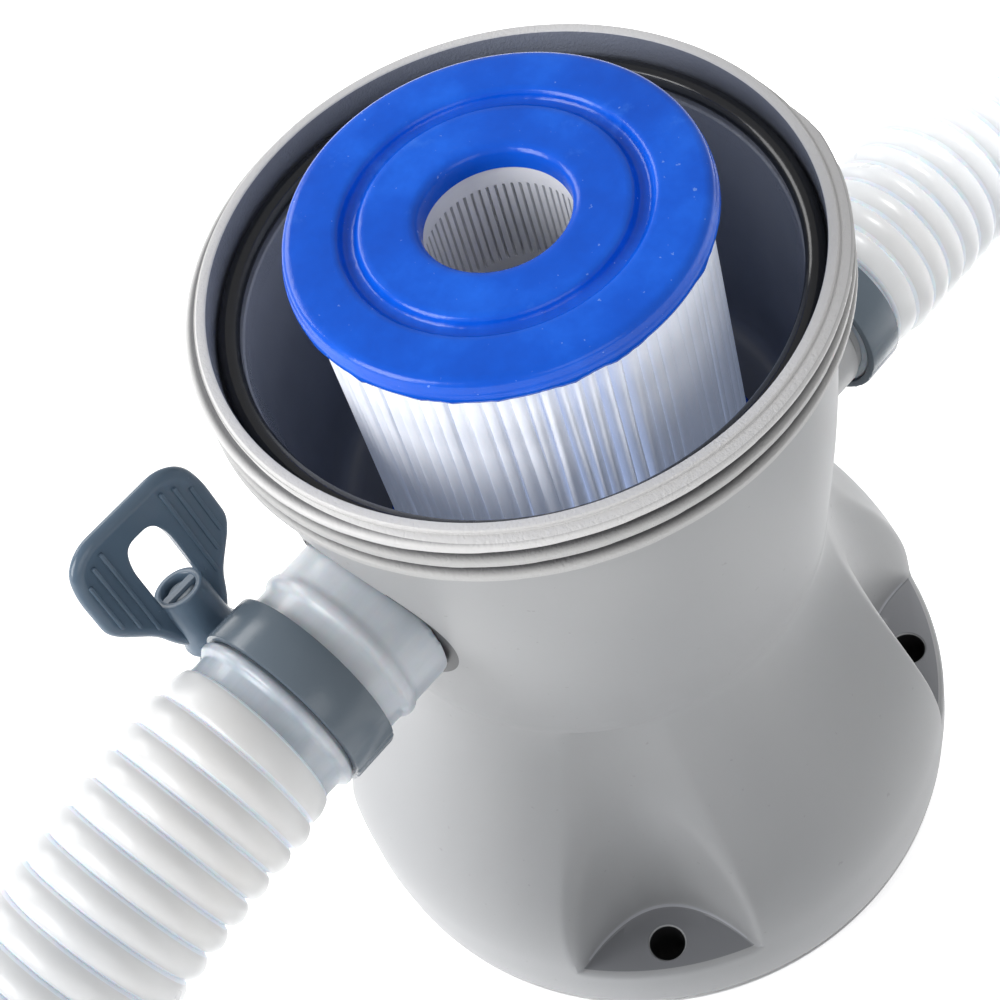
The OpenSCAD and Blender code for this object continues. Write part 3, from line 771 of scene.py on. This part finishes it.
inlet_profile = [
    (16.05, 54.9), (17.6, 54.9), (18.1, 55.2), (18.25, 56.2), (18.2, 60.0), (18.15, 63.4), (18.25, 64.4),
    (18.7, 65.0), (18.95, 65.8), (18.95, 66.5), (18.65, 67.3), (18.1, 67.9), (17.95, 68.8), (18.0, 83.0),
    (18.35, 83.4), (19.0, 83.7), (19.2, 84.3), (19.15, 85.0), (18.7, 85.5), (18.0, 85.9), (17.75, 86.6),
    (17.7, 89.0), (17.9, 90.4), (16.05, 90.4),
]  # fmt: skip
outlet_profile = [
    (16.05, 78.2), (17.4, 78.2), (17.8, 78.6), (18.0, 79.2), (18.0, 87.8), (17.8, 88.4), (17.7, 89.8),
    (17.5, 90.3), (16.05, 90.3),
]  # fmt: skip
inlet_rows = cuff_rows(inlet_profile, -1, INLET_Z, 2.0)
inlet_cuff = grid("inlet_hose_cuff", inlet_rows, "housing", wrap_v=True, smooth=50)
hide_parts("inlet_cuff")
outlet_rows = cuff_rows(outlet_profile, 1, OUTLET_Z, 5.0)
outlet_cuff = grid("outlet_hose_cuff", outlet_rows, "housing", wrap_v=True, smooth=50)
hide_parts("outlet_cuff")

far_profile = [
    (16.05, 0.2), (18.2, -0.3), (18.75, 0.3), (18.7, 1.2), (18.1, 1.9), (18.0, 3.0), (18.0, 19.6),
    (18.3, 20.1), (18.75, 20.7), (18.75, 22.2), (18.3, 22.9), (18.0, 23.5), (18.05, 34.8), (17.8, 35.6),
    (17.3, 36.0), (16.3, 36.0), (16.05, 35.7),
]  # fmt: skip
far_cuffs = {}
for key, route in (("inlet", INLET_ROUTE), ("outlet", OUTLET_ROUTE)):
    side = 1 if route[-1][0] > 0 else -1
    rows = along_x(revolve_rows(far_profile, 128), side, 0) + np.array(route[-1], float)
    far_cuffs[key] = grid(f"{key}_hose_end_cuff", rows, "housing", wrap_v=True, smooth=50)
    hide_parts(f"{key}_end_cuff")

# each port's exit x and height are listed, but the loop only reads back its hose
for key, exit_x, z in (("inlet", -0.072, INLET_Z), ("outlet", 0.075, OUTLET_Z)):
    tube, centre, total = hoses[key]

# ---------------------------------------------------------------- clamps
LEAN_X = math.radians(-18)
CL = np.array(Matrix.Rotation(LEAN_X, 3, "X"))
SCREW_Y = 27.0
HUB_TOP = 18.2


def at_clamp(rows, x, z):
    """From the clamp's own frame, which is turned about the hose, to the part's frame."""
    return np.asarray(rows) @ CL.T + np.array([x, 0, z])


def prism(outline, lo, hi, axis, bevel=0.35):
    """A flat plate from an outline, with bevelled edges, as (verts, faces). axis is its thickness."""
    o = np.array(outline, float)
    n = len(o)
    nxt, prv = np.roll(o, -1, 0), np.roll(o, 1, 0)
    t = nxt - prv
    t /= np.maximum(np.linalg.norm(t, axis=1)[:, None], 1e-9)
    area = 0.5 * np.sum(o[:, 0] * nxt[:, 1] - nxt[:, 0] * o[:, 1])
    nrm = np.stack([t[:, 1], -t[:, 0]], -1) * (1 if area > 0 else -1)
    part = bevel * 0.3
    levels = [(lo, bevel), (lo + part, part), (lo + bevel, 0)]
    levels += [(hi - bevel, 0), (hi - part, part), (hi, bevel)]
    verts, faces = [], []
    for h, inset in levels:
        p = o - nrm * inset
        for q in p:
            if axis == "x":
                verts.append((h, q[0], q[1]))
            elif axis == "y":
                verts.append((q[0], h, q[1]))
            else:
                verts.append((q[0], q[1], h))
    for i in range(len(levels) - 1):
        for k in range(n):
            faces.append((i * n + k, i * n + (k + 1) % n, (i + 1) * n + (k + 1) % n, (i + 1) * n + k))
    faces.append(tuple(range(n))[::-1])
    faces.append(tuple(range((len(levels) - 1) * n, len(levels) * n)))
    return np.array(verts), faces


def band_piece(name, x, z):
    """The clamp's ring in its own frame: X along the hose, +Y towards the lugs, +Z along the screw."""
    inner, outer, hw = 18.05, 19.75, BAND_W / 2
    count = 240
    ang = np.arange(count) * TAU / count

    # grooves across the band and a raised panel, low on the near side
    def dip(at, deep):
        d = (ang - math.radians(at) + math.pi) % TAU - math.pi
        return deep * np.exp(-((d / 0.02) ** 2))

    groove = dip(212, 0.32) + dip(221, 0.32) + dip(240, 0.3)
    panel_in = ease(((ang - math.radians(190)) % TAU) / 0.03)
    panel_out = ease((math.radians(246) - ang) / 0.03 * (ang < math.radians(250)))
    raised = 0.14 * panel_in * panel_out
    half = [(hw - 0.1, inner), (hw, inner + 0.2), (hw, outer - 0.55)]
    half += [(hw - 0.18, outer - 0.16), (hw - 0.6, outer)]
    section = half + [(-sx, r) for sx, r in half[::-1]]
    rows = []
    for sx, r in section:
        rr = r + np.zeros(count)
        if r > outer - 0.3:
            rr = rr - groove + raised
        rows.append(np.stack([np.full(count, sx), rr * np.cos(ang), rr * np.sin(ang)], -1))
    parts = [grid_part(rows, wrap_v=True)]
    # lugs that the screw draws together
    for s in (1, -1):
        lo, hi = (1.5, 3.2) if s > 0 else (-3.2, -1.5)
        o = rounded([(-hw, 16.5), (hw, 16.5), (hw, 32.6), (-hw, 32.6)], [0, 0, 3.6, 3.6], 6)
        parts.append(prism(o, lo, hi, "z", 0.3))
        corners = [(14.6, s * 3.0), (24.0, s * 3.0), (18.6, s * 7.6), (17.3, s * 9.4)]
        web = rounded(corners, [0, 1.2, 1.2, 0], 4)
        for wx in (-hw + 0.05, hw - 1.55):
            parts.append(prism(web, wx, wx + 1.5, "x", 0.25))
    # rounded saddle block where the lug meets the ring
    corners = [(12.5, 14.2), (17.2, 9.6), (20.4, 5.4), (22.4, 3.1), (17.0, 2.6), (14.0, 9.0)]
    block = rounded(corners, [0.4, 1.5, 1.6, 0.7, 0.2, 0.2], 5)
    parts.append(prism(block, -hw + 0.1, hw - 0.1, "x", 0.5))
    v, f = merge(parts)
    return add_mesh(name, at_clamp(v, x, z), f, "housing", smooth=40)


def nut_piece(name, x, z, body):
    """The wing nut: a flat plate with a window, finger ribs and a hub."""
    corners = [
        (-4.9, -13.0), (4.9, -13.0), (7.4, -9.2), (9.4, -4.6), (15.3, 1.6), (16.9, 4.4), (16.9, 14.6),
        (15.4, 20.2), (10.6, 23.2), (-10.6, 23.2), (-15.4, 20.2), (-16.9, 14.6), (-16.9, 4.4), (-15.3, 1.6),
        (-9.4, -4.6), (-7.4, -9.2),
    ]  # fmt: skip
    outline = rounded(corners, [0, 0, 2, 4.0, 3.0, 3.0, 4.0, 5.0, 5.0, 5.0, 5.0, 4.0, 3.0, 3.0, 4.0, 2], 6)
    corners = [(-5.1, -0.4), (5.1, -0.4), (5.1, 11.4), (3.4, 16.0), (-3.4, 16.0), (-5.1, 11.4)]
    window = rounded(corners, [0.6, 0.6, 2.6, 2.4, 2.4, 2.6], 6)
    # the plate as a ring between outline and window, both resampled to the same count
    n = 160  # points round the plate

    def even(loop, start_angle):
        loop = np.vstack([loop, loop[:1]])
        d = np.r_[0, np.cumsum(np.linalg.norm(np.diff(loop, axis=0), axis=1))]
        at = np.linspace(0, d[-1], n, endpoint=False)
        pts = np.stack([np.interp(at, d, loop[:, k]) for k in (0, 1)], -1)
        centre = np.array([0, 7.0])
        first = np.argmin(np.abs(np.arctan2(*(pts - centre).T[::-1]) - start_angle))
        return np.roll(pts, -first, 0)

    out, win = even(outline, -math.pi / 2), even(window, -math.pi / 2)

    def normal(p):
        t = np.roll(p, -1, 0) - np.roll(p, 1, 0)
        t /= np.maximum(np.linalg.norm(t, axis=1)[:, None], 1e-9)
        return np.stack([t[:, 1], -t[:, 0]], -1)

    no, nw = normal(out), normal(win)
    rows = []
    arc = [(0.0, 0.0), (0.12, 0.55), (0.42, 1.02), (0.9, 1.36), (1.6, 1.6), (2.4, 1.68)]
    # outer edge from back to front, face, window edge from front to back
    for inset, h in [(i, -h) for i, h in arc[::-1]] + arc[1:]:
        rows.append(np.stack([*(out - no * inset).T, np.full(n, h)], -1))
    rim_in = out - no * 3.0
    rows.append(np.stack([*rim_in.T, np.full(n, 1.42)], -1))
    small = [(0.7, 1.42), (0.3, 1.3), (0.0, 0.95), (0.0, -0.95), (0.3, -1.3), (0.7, -1.42)]
    for grow, h in small:
        rows.append(np.stack([*(win + nw * grow).T, np.full(n, h)], -1))
    rows.append(np.stack([*rim_in.T, np.full(n, -1.42)], -1))
    plate = np.array(rows)
    plate = np.stack([plate[..., 0], plate[..., 2], plate[..., 1]], -1)
    parts = [grid_part(plate, wrap_v=True)]
    # finger ribs on both faces
    for sx in (-1, 1):
        for at, lo, hi in ((8.2, -3.0, 19.6), (11.0, 0.6, 18.4), (13.8, 3.4, 15.8)):
            left, right = sx * at - 0.5, sx * at + 0.5
            o = rounded([(left, lo), (right, lo), (right, hi), (left, hi)], 0.48, 4)
            for lo_y, hi_y in ((-2.1, -0.9), (0.9, 2.1)):
                parts.append(prism(o, lo_y, hi_y, "y", 0.3))
    # hub with a flared foot and a recessed mouth
    hub = [
        (3.1, -14.1), (6.2, -14.2), (6.3, -13.6), (5.75, -12.4), (5.6, -10.0), (5.55, -0.5), (5.35, -0.12),
        (4.95, 0.0), (4.25, 0.0), (4.0, -0.15), (3.85, -0.5), (3.75, -2.0), (3.1, -2.0),
    ]  # fmt: skip
    parts.append(grid_part(revolve_rows(hub, 96), wrap_v=True))
    v, f = merge(parts)
    v = v + np.array([0, SCREW_Y, HUB_TOP])
    return add_mesh(name, at_clamp(v, x, z), f, body, smooth=38)


def screw_piece(name, x, z):
    """The clamp's screw: a round head and a threaded shank."""
    rows = [(0.0, -6.6), (4.3, -6.6), (5.0, -6.2), (5.2, -5.6)]
    rows += [(5.2, -3.9), (4.9, -3.4), (4.4, -3.2), (3.0, -3.2)]
    # thread ridges, 1 mm apart
    rows += [(3.0 - 0.22 * (0.5 + 0.5 * math.cos(TAU * t)), t) for t in np.arange(-2.8, 16.0, 0.25)]
    rows += [(3.0, 16.3), (2.95, 16.9), (2.7, 17.12), (2.2, 17.2), (0.0, 17.2)]
    rows = revolve_rows(rows, 48) + np.array([0, SCREW_Y, 0])
    return grid(name, at_clamp(rows, x, z), "housing", smooth=40)


def washer_piece(name, x, z):
    profile = [
        (3.25, 3.25), (3.25, 3.9), (3.4, 3.98), (5.0, 3.98), (5.2, 3.8), (5.2, 3.4), (5.0, 3.22), (3.4, 3.22),
    ]  # fmt: skip
    rows = revolve_rows(profile, 64) + np.array([0, SCREW_Y, 0])
    return grid(name, at_clamp(rows, x, z), "housing", wrap_v=True, smooth=40)


clamps = {}
for key, x, z in (("inlet", -INLET_CLAMP_X, INLET_Z), ("outlet", OUTLET_CLAMP_X, OUTLET_Z)):
    b = band_piece(f"{key}_clamp_band", x, z)
    s = screw_piece(f"{key}_clamp_screw", x, z)
    w = washer_piece(f"{key}_clamp_washer", x, z)
    n = nut_piece(f"{key}_clamp_nut", x, z, f"{key}_nut")
    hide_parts(f"{key}_band")
    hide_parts(f"{key}_screw")
    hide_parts(f"{key}_washer")
    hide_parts(f"{key}_wing_nut")
    clamps[key] = (b, s, w, n)

# ---------------------------------------------------------------- materials
# the masks' heights and radii are in metres
HOLE_AT = 0.04752
HOLE_WALL_R, HOLE_WALL_TOP = 0.00416, 0.01965
FLOOR_LOW, FLOOR_HIGH, BEAD_HIGH = 0.01990, 0.0203, 0.0210
FLOOR_EDGE_R, BEAD_EDGE_R = 0.0735, 0.0715
RIM_BAND_Z, TOP_EDGE_Z = 0.1737, 0.1846
GROOVE_LOW, GROOVE_HIGH, GROOVE_INNER_R = 0.1742, 0.1863, 0.0592
GROOVE_DARK_R, GROOVE_CLEAR_R = 0.0620, 0.0635
BEHIND_CUFF_R, BEHIND_CUFF_X = 0.0197, (-0.0575, -0.0480)
WELL_R, WELL_LOW, LIP_R, INSIDE_HIGH = 0.0543, 0.1155, 0.05895, 0.18695

h = housing_mat = Mat("housing_grey", (0.40, 0.41, 0.43), 0.42)
x, y, z = h.separate()
radius = h.distance(x, y)
grey = h.ramp(h.noise(11, 3), [(0.3, (0.325, 0.330, 0.340)), (0.7, (0.360, 0.364, 0.370))])
specks = h.ramp(h.noise(520, 2, 0.5), [(0.245, (1, 1, 1)), (0.27, (0, 0, 0))])
grey = h.mix(h.times(specks, 0.35), grey, (0.2, 0.2, 0.2))
# the rim is lighter, and its top edge lightest
rim_band = h.over(z, RIM_BAND_Z)
grey = h.mix(rim_band, grey, (0.47, 0.468, 0.466))
grey = h.mix(h.over(z, TOP_EDGE_Z), grey, (0.64, 0.635, 0.635))
# shade gathers in the grooves of the thread
groove_depth = h.node("ShaderNodeMapRange", interpolation_type="SMOOTHSTEP")
for socket, value in (
    ("From Min", GROOVE_DARK_R), ("From Max", GROOVE_CLEAR_R), ("To Min", 1.0), ("To Max", 0.0),
):  # fmt: skip
    groove_depth.inputs[socket].default_value = value
h.link(radius, groove_depth.inputs["Value"])
on_thread = h.times(h.over(radius, GROOVE_INNER_R), h.over(z, GROOVE_LOW), h.under(z, GROOVE_HIGH))
grey = h.mix(h.times(groove_depth.outputs["Result"], on_thread), grey, (0.09, 0.09, 0.095))
# painted shade darkens the pocket floors and makes the walls of the holes near black; the floors' rounded
# edge is lighter
pocket_floor_shade = h.times(h.over(z, FLOOR_LOW), h.under(z, FLOOR_HIGH), h.under(radius, FLOOR_EDGE_R))
grey = h.mix(pocket_floor_shade, grey, (0.195, 0.20, 0.215))
bead = h.times(h.over(z, FLOOR_HIGH), h.under(z, BEAD_HIGH), h.under(radius, BEAD_EDGE_R))
grey = h.mix(bead, grey, (0.40, 0.41, 0.44))
hole_r = h.distance(*[h.math("SUBTRACT", h.math("ABSOLUTE", v), HOLE_AT) for v in (x, y)])
hole_wall_shade = h.times(h.under(hole_r, HOLE_WALL_R), h.under(z, HOLE_WALL_TOP))
grey = h.mix(hole_wall_shade, grey, (0.012, 0.012, 0.013))
# shade in the gap behind the inlet cuff
inlet_r = h.distance(y, h.math("SUBTRACT", z, INLET_Z * MM))
behind = h.times(h.under(inlet_r, BEHIND_CUFF_R), h.over(x, BEHIND_CUFF_X[0]), h.under(x, BEHIND_CUFF_X[1]))
grey = h.mix(behind, grey, (0.05, 0.052, 0.057))
# painted shade: the inside of the chamber is painted a dark bluish grey for its shade and the blue light cast
# from the cap, and is smoother
well = h.times(h.under(radius, WELL_R), h.over(z, WELL_LOW))
lip = h.times(h.under(radius, LIP_R), h.over(z, RIM_BAND_Z))
inside = h.times(h.math("MAXIMUM", well, lip), h.under(z, INSIDE_HIGH))
well_shade = h.ramp(h.noise(30, 3), [(0.3, (0.150, 0.165, 0.205)), (0.7, (0.185, 0.200, 0.245))])
h.color(h.mix(inside, grey, well_shade))
h.rough(inside, 0.42, 0.24)
rim_sand = h.times(h.noise(1500, 3, 0.7), rim_band)
h.bump([(h.noise(1000, 3, 0.6), 0.00002), (rim_sand, 0.00022), (h.noise(35, 2), 0.00003)])
for o in (housing, inlet_spigot, outlet_neck, bosses):
    paint(o, housing_mat)
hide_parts("housing", "housing_base")

rubber = Mat("seal_rubber", (0.012, 0.013, 0.016), 0.16)
rubber.rough(rubber.noise(300, 3), 0.10, 0.24)
rubber.bump([(rubber.noise(420, 3), 0.00003)])
paint(seal, rubber)

blue = Mat("cap_blue", (0.002, 0.098, 0.66), 0.20, Specular_IOR_Level=0.35)
mottle = blue.noise(38, 5, 0.62)
tones = [(0.32, (0.001, 0.074, 0.54)), (0.52, (0.002, 0.098, 0.66)), (0.68, (0.008, 0.138, 0.80))]
tone = blue.ramp(mottle, tones)
veins = blue.ramp(blue.noise(90, 6, 0.7), [(0.62, (0, 0, 0)), (0.72, (1, 1, 1))])
dust = blue.ramp(blue.noise(820, 2, 0.5), [(0.735, (0, 0, 0)), (0.76, (1, 1, 1))])
tone = blue.mix(blue.times(veins, 0.22), tone, (0.07, 0.26, 0.88))
blue.color(blue.mix(blue.times(dust, 0.4), tone, (0.30, 0.48, 0.92)))
blue.rough(blue.noise(120, 4, 0.6), 0.13, 0.28)
blue.bump([(blue.noise(22, 3), 0.00030), (blue.noise(160, 4, 0.6), 0.00010), (blue.noise(900, 2), 0.00003)])
paint(top_cap, blue)
paint(low_cap, blue)

# the weak glow of the paper and the hoses stands for light that comes through them
cloth = Mat(
    "pleated_cloth", (0.90, 0.92, 0.98), 0.8,
    Emission_Color=(0.62, 0.74, 1.0, 1), Emission_Strength=0.13,
)  # fmt: skip
fibre = cloth.noise(620, 5, 0.72, (1, 1, 0.35))
cloth.color(cloth.ramp(fibre, [(0.3, (0.85, 0.88, 0.97)), (0.7, (0.93, 0.95, 1.0))]))
cloth.bump([(fibre, 0.00012), (cloth.noise(90, 3), 0.0002)])
paint(pleats, cloth)
core_mat = plastic("core_white", (0.86, 0.87, 0.89), 0.36, tint=0.03, speck=0.05)
paint(core, core_mat)

hose_mat = Mat(
    "hose_milky", (0.62, 0.635, 0.655), 0.30,
    Subsurface_Weight=0.5, Subsurface_Scale=0.008, Subsurface_Radius=(1.0, 0.97, 0.95),
    Emission_Color=(0.95, 0.97, 1, 1), Emission_Strength=0.09,
)  # fmt: skip
tones = [(0.32, (0.575, 0.60, 0.635)), (0.5, (0.62, 0.63, 0.64)), (0.68, (0.64, 0.63, 0.615))]
tone = hose_mat.ramp(hose_mat.noise(9, 3), tones)
cloud = hose_mat.ramp(hose_mat.noise(120, 4, 0.6), [(0.35, (0, 0, 0)), (0.7, (1, 1, 1))])
hose_mat.color(hose_mat.mix(hose_mat.times(cloud, 0.25), tone, (0.71, 0.72, 0.73)))
hose_mat.rough(hose_mat.noise(90, 3), 0.22, 0.40)
hose_mat.bump([(hose_mat.noise(260, 3), 0.00006), (hose_mat.noise(30, 2), 0.0001)])
# painted light: the valley strips are a lighter colour than the crests and glow a little more, against the
# shade of their folds
valley_mat = Mat(
    "hose_valley", (0.72, 0.75, 0.79), 0.35,
    Subsurface_Weight=0.5, Subsurface_Scale=0.006,
    Emission_Color=(0.86, 0.92, 1, 1), Emission_Strength=0.10,
)  # fmt: skip
tones = [(0.3, (0.69, 0.73, 0.78)), (0.7, (0.76, 0.79, 0.82))]
valley_mat.color(valley_mat.ramp(valley_mat.noise(60, 3), tones))
for tube, centre, total in hoses.values():
    paint(tube, hose_mat)
    tube.data.materials.append(valley_mat.mat)
    for poly in tube.data.polygons:
        # the first and last strip of each corrugation are its valley
        if poly.index // HOSE_SIDES % HOSE_PER in (0, HOSE_PER - 1):
            poly.material_index = 1

cuff_mat = Mat(
    "cuff_bluish", (0.40, 0.46, 0.53), 0.3,
    Subsurface_Weight=0.3, Subsurface_Scale=0.004, Coat_Weight=0.2, Coat_Roughness=0.12,
)  # fmt: skip
streak = cuff_mat.noise(150, 4, 0.6, (0.12, 1, 1))
cloud = cuff_mat.noise(28, 3, 0.55, (0.7, 1, 1))
tones = [(0.33, (0.25, 0.31, 0.37)), (0.52, (0.35, 0.40, 0.46)), (0.7, (0.55, 0.58, 0.62))]
tone = cuff_mat.ramp(cloud, tones)
lines = cuff_mat.ramp(streak, [(0.35, (0.0, 0.0, 0.0)), (0.62, (1, 1, 1))])
cuff_mat.color(cuff_mat.mix(cuff_mat.times(lines, 0.30), tone, (0.66, 0.69, 0.73)))
cuff_mat.rough(streak, 0.22, 0.42)
cuff_mat.bump([(streak, 0.00012), (cuff_mat.noise(400, 3), 0.00004)])
for o in (inlet_cuff, outlet_cuff, *far_cuffs.values()):
    paint(o, cuff_mat)

band_mat = plastic("clamp_slate", (0.110, 0.140, 0.172), 0.24, speck=0.1)
nut_look = dict(tint=0.1, speck=0.1, grain=0.00004, scale=700)
nut_mat = plastic("nut_blue_slate", (0.090, 0.135, 0.190), 0.25, **nut_look)
screw_mat = plastic("screw_slate", (0.13, 0.16, 0.19), 0.34, speck=0.1)
zinc = steel("zinc_steel", (0.62, 0.63, 0.65), 0.3)
for b, s, w, n in clamps.values():
    paint(b, band_mat)
    paint(s, screw_mat)
    paint(w, zinc)
    paint(n, nut_mat)

winding_look = dict(grain=0.0002, scale=1400, Metallic=0.8)
carried = {
    "base_plate": plastic("base_dark", (0.06, 0.064, 0.07), 0.45),
    "feet": plastic("foot_rubber", (0.02, 0.02, 0.022), 0.7, grain=0.00006, scale=500),
    "cable_gland": plastic("gland_black", (0.03, 0.03, 0.033), 0.38),
    "gland_nut": plastic("gland_nut_black", (0.035, 0.035, 0.038), 0.36),
    "volute": plastic("volute_grey", (0.36, 0.37, 0.385), 0.42),
    "impeller": plastic("impeller_grey", (0.10, 0.105, 0.115), 0.3),
    "rotor_magnet": steel("magnet_ferrite", (0.16, 0.16, 0.165), 0.5),
    "rotor_bushes": plastic("bush_brown", (0.20, 0.13, 0.07), 0.35),
    "thrust_washer": plastic("ceramic_ivory", (0.78, 0.75, 0.68), 0.15, speck=0.05),
    "rotor_can": plastic("can_dark", (0.12, 0.125, 0.135), 0.36),
    "can_seal_ring": plastic("can_seal_black", (0.015, 0.015, 0.017), 0.3),
    "stator_coils": plastic("winding_copper", (0.42, 0.15, 0.045), 0.28, **winding_look),
    "base_screws": zinc,
    "can_screws": zinc,
    "rotor_shaft": steel("shaft_ground", (0.66, 0.66, 0.67), 0.16, (1, 1, 30)),
    "stator_core": steel("stator_laminations", (0.26, 0.27, 0.29), 0.42, (1, 1, 60)),
}
for name, mat in carried.items():
    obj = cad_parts[name]
    obj.data.materials.clear()
    obj.data.materials.append(mat.mat)

# ---------------------------------------------------------------- floor and light
bpy.context.scene.view_settings.view_transform = "Standard"
floor_mesh = bpy.data.meshes.new("studio_floor")
floor_mesh.from_pydata([(-6, -6, 0), (6, -6, 0), (6, 6, 0), (-6, 6, 0)], [], [(0, 1, 2, 3)])
floor = bpy.data.objects.new("studio_floor", floor_mesh)
bpy.context.scene.collection.objects.link(floor)
floor_mat = Mat("floor_pale", (0.93, 0.93, 0.93), 0.9, Emission_Color=(1, 1, 1, 1))
# the sweep glows a little, but not under the pump
GLOW_R = 0.0735
away = floor_mat.separate()
beyond = floor_mat.over(floor_mat.distance(away[0], away[1]), GLOW_R)
floor_mat.link(floor_mat.times(beyond, 0.55), floor_mat.bsdf.inputs["Emission Strength"])
floor.data.materials.append(floor_mat.mat)

world = bpy.data.worlds.new("studio")
bpy.context.scene.world = world
world.use_nodes = True
background = world.node_tree.nodes["Background"]
background.inputs["Color"].default_value = (1.0, 1.0, 1.0, 1)
background.inputs["Strength"].default_value = 0.45


def area_light(name, place, target, size, power):
    data = bpy.data.lights.new(name, "AREA")
    data.shape = "RECTANGLE"
    data.size, data.size_y = size
    data.energy = power
    obj = bpy.data.objects.new(name, data)
    bpy.context.scene.collection.objects.link(obj)
    obj.location = place
    obj.rotation_euler = (Vector(target) - Vector(place)).to_track_quat("-Z", "Y").to_euler()
    return obj


area_light("key_left", (-1.9, 0.70, 1.30), target=(0, 0, 0.1), size=(1.2, 1.6), power=46)
area_light("fill_front", (-0.35, -1.1, 0.8), target=(0, 0, 0.1), size=(0.8, 0.6), power=2)
area_light("back_high", (-0.15, 1.15, 0.75), target=(0, 0, 0.15), size=(0.9, 0.5), power=6)
OVER_HOSE = (0.50, -0.05, 0.90)
over_outlet = area_light("over_outlet", OVER_HOSE, target=(0.26, 0, 0.09), size=(0.12, 0.12), power=0.42)
over_outlet.data.spread = math.radians(22)
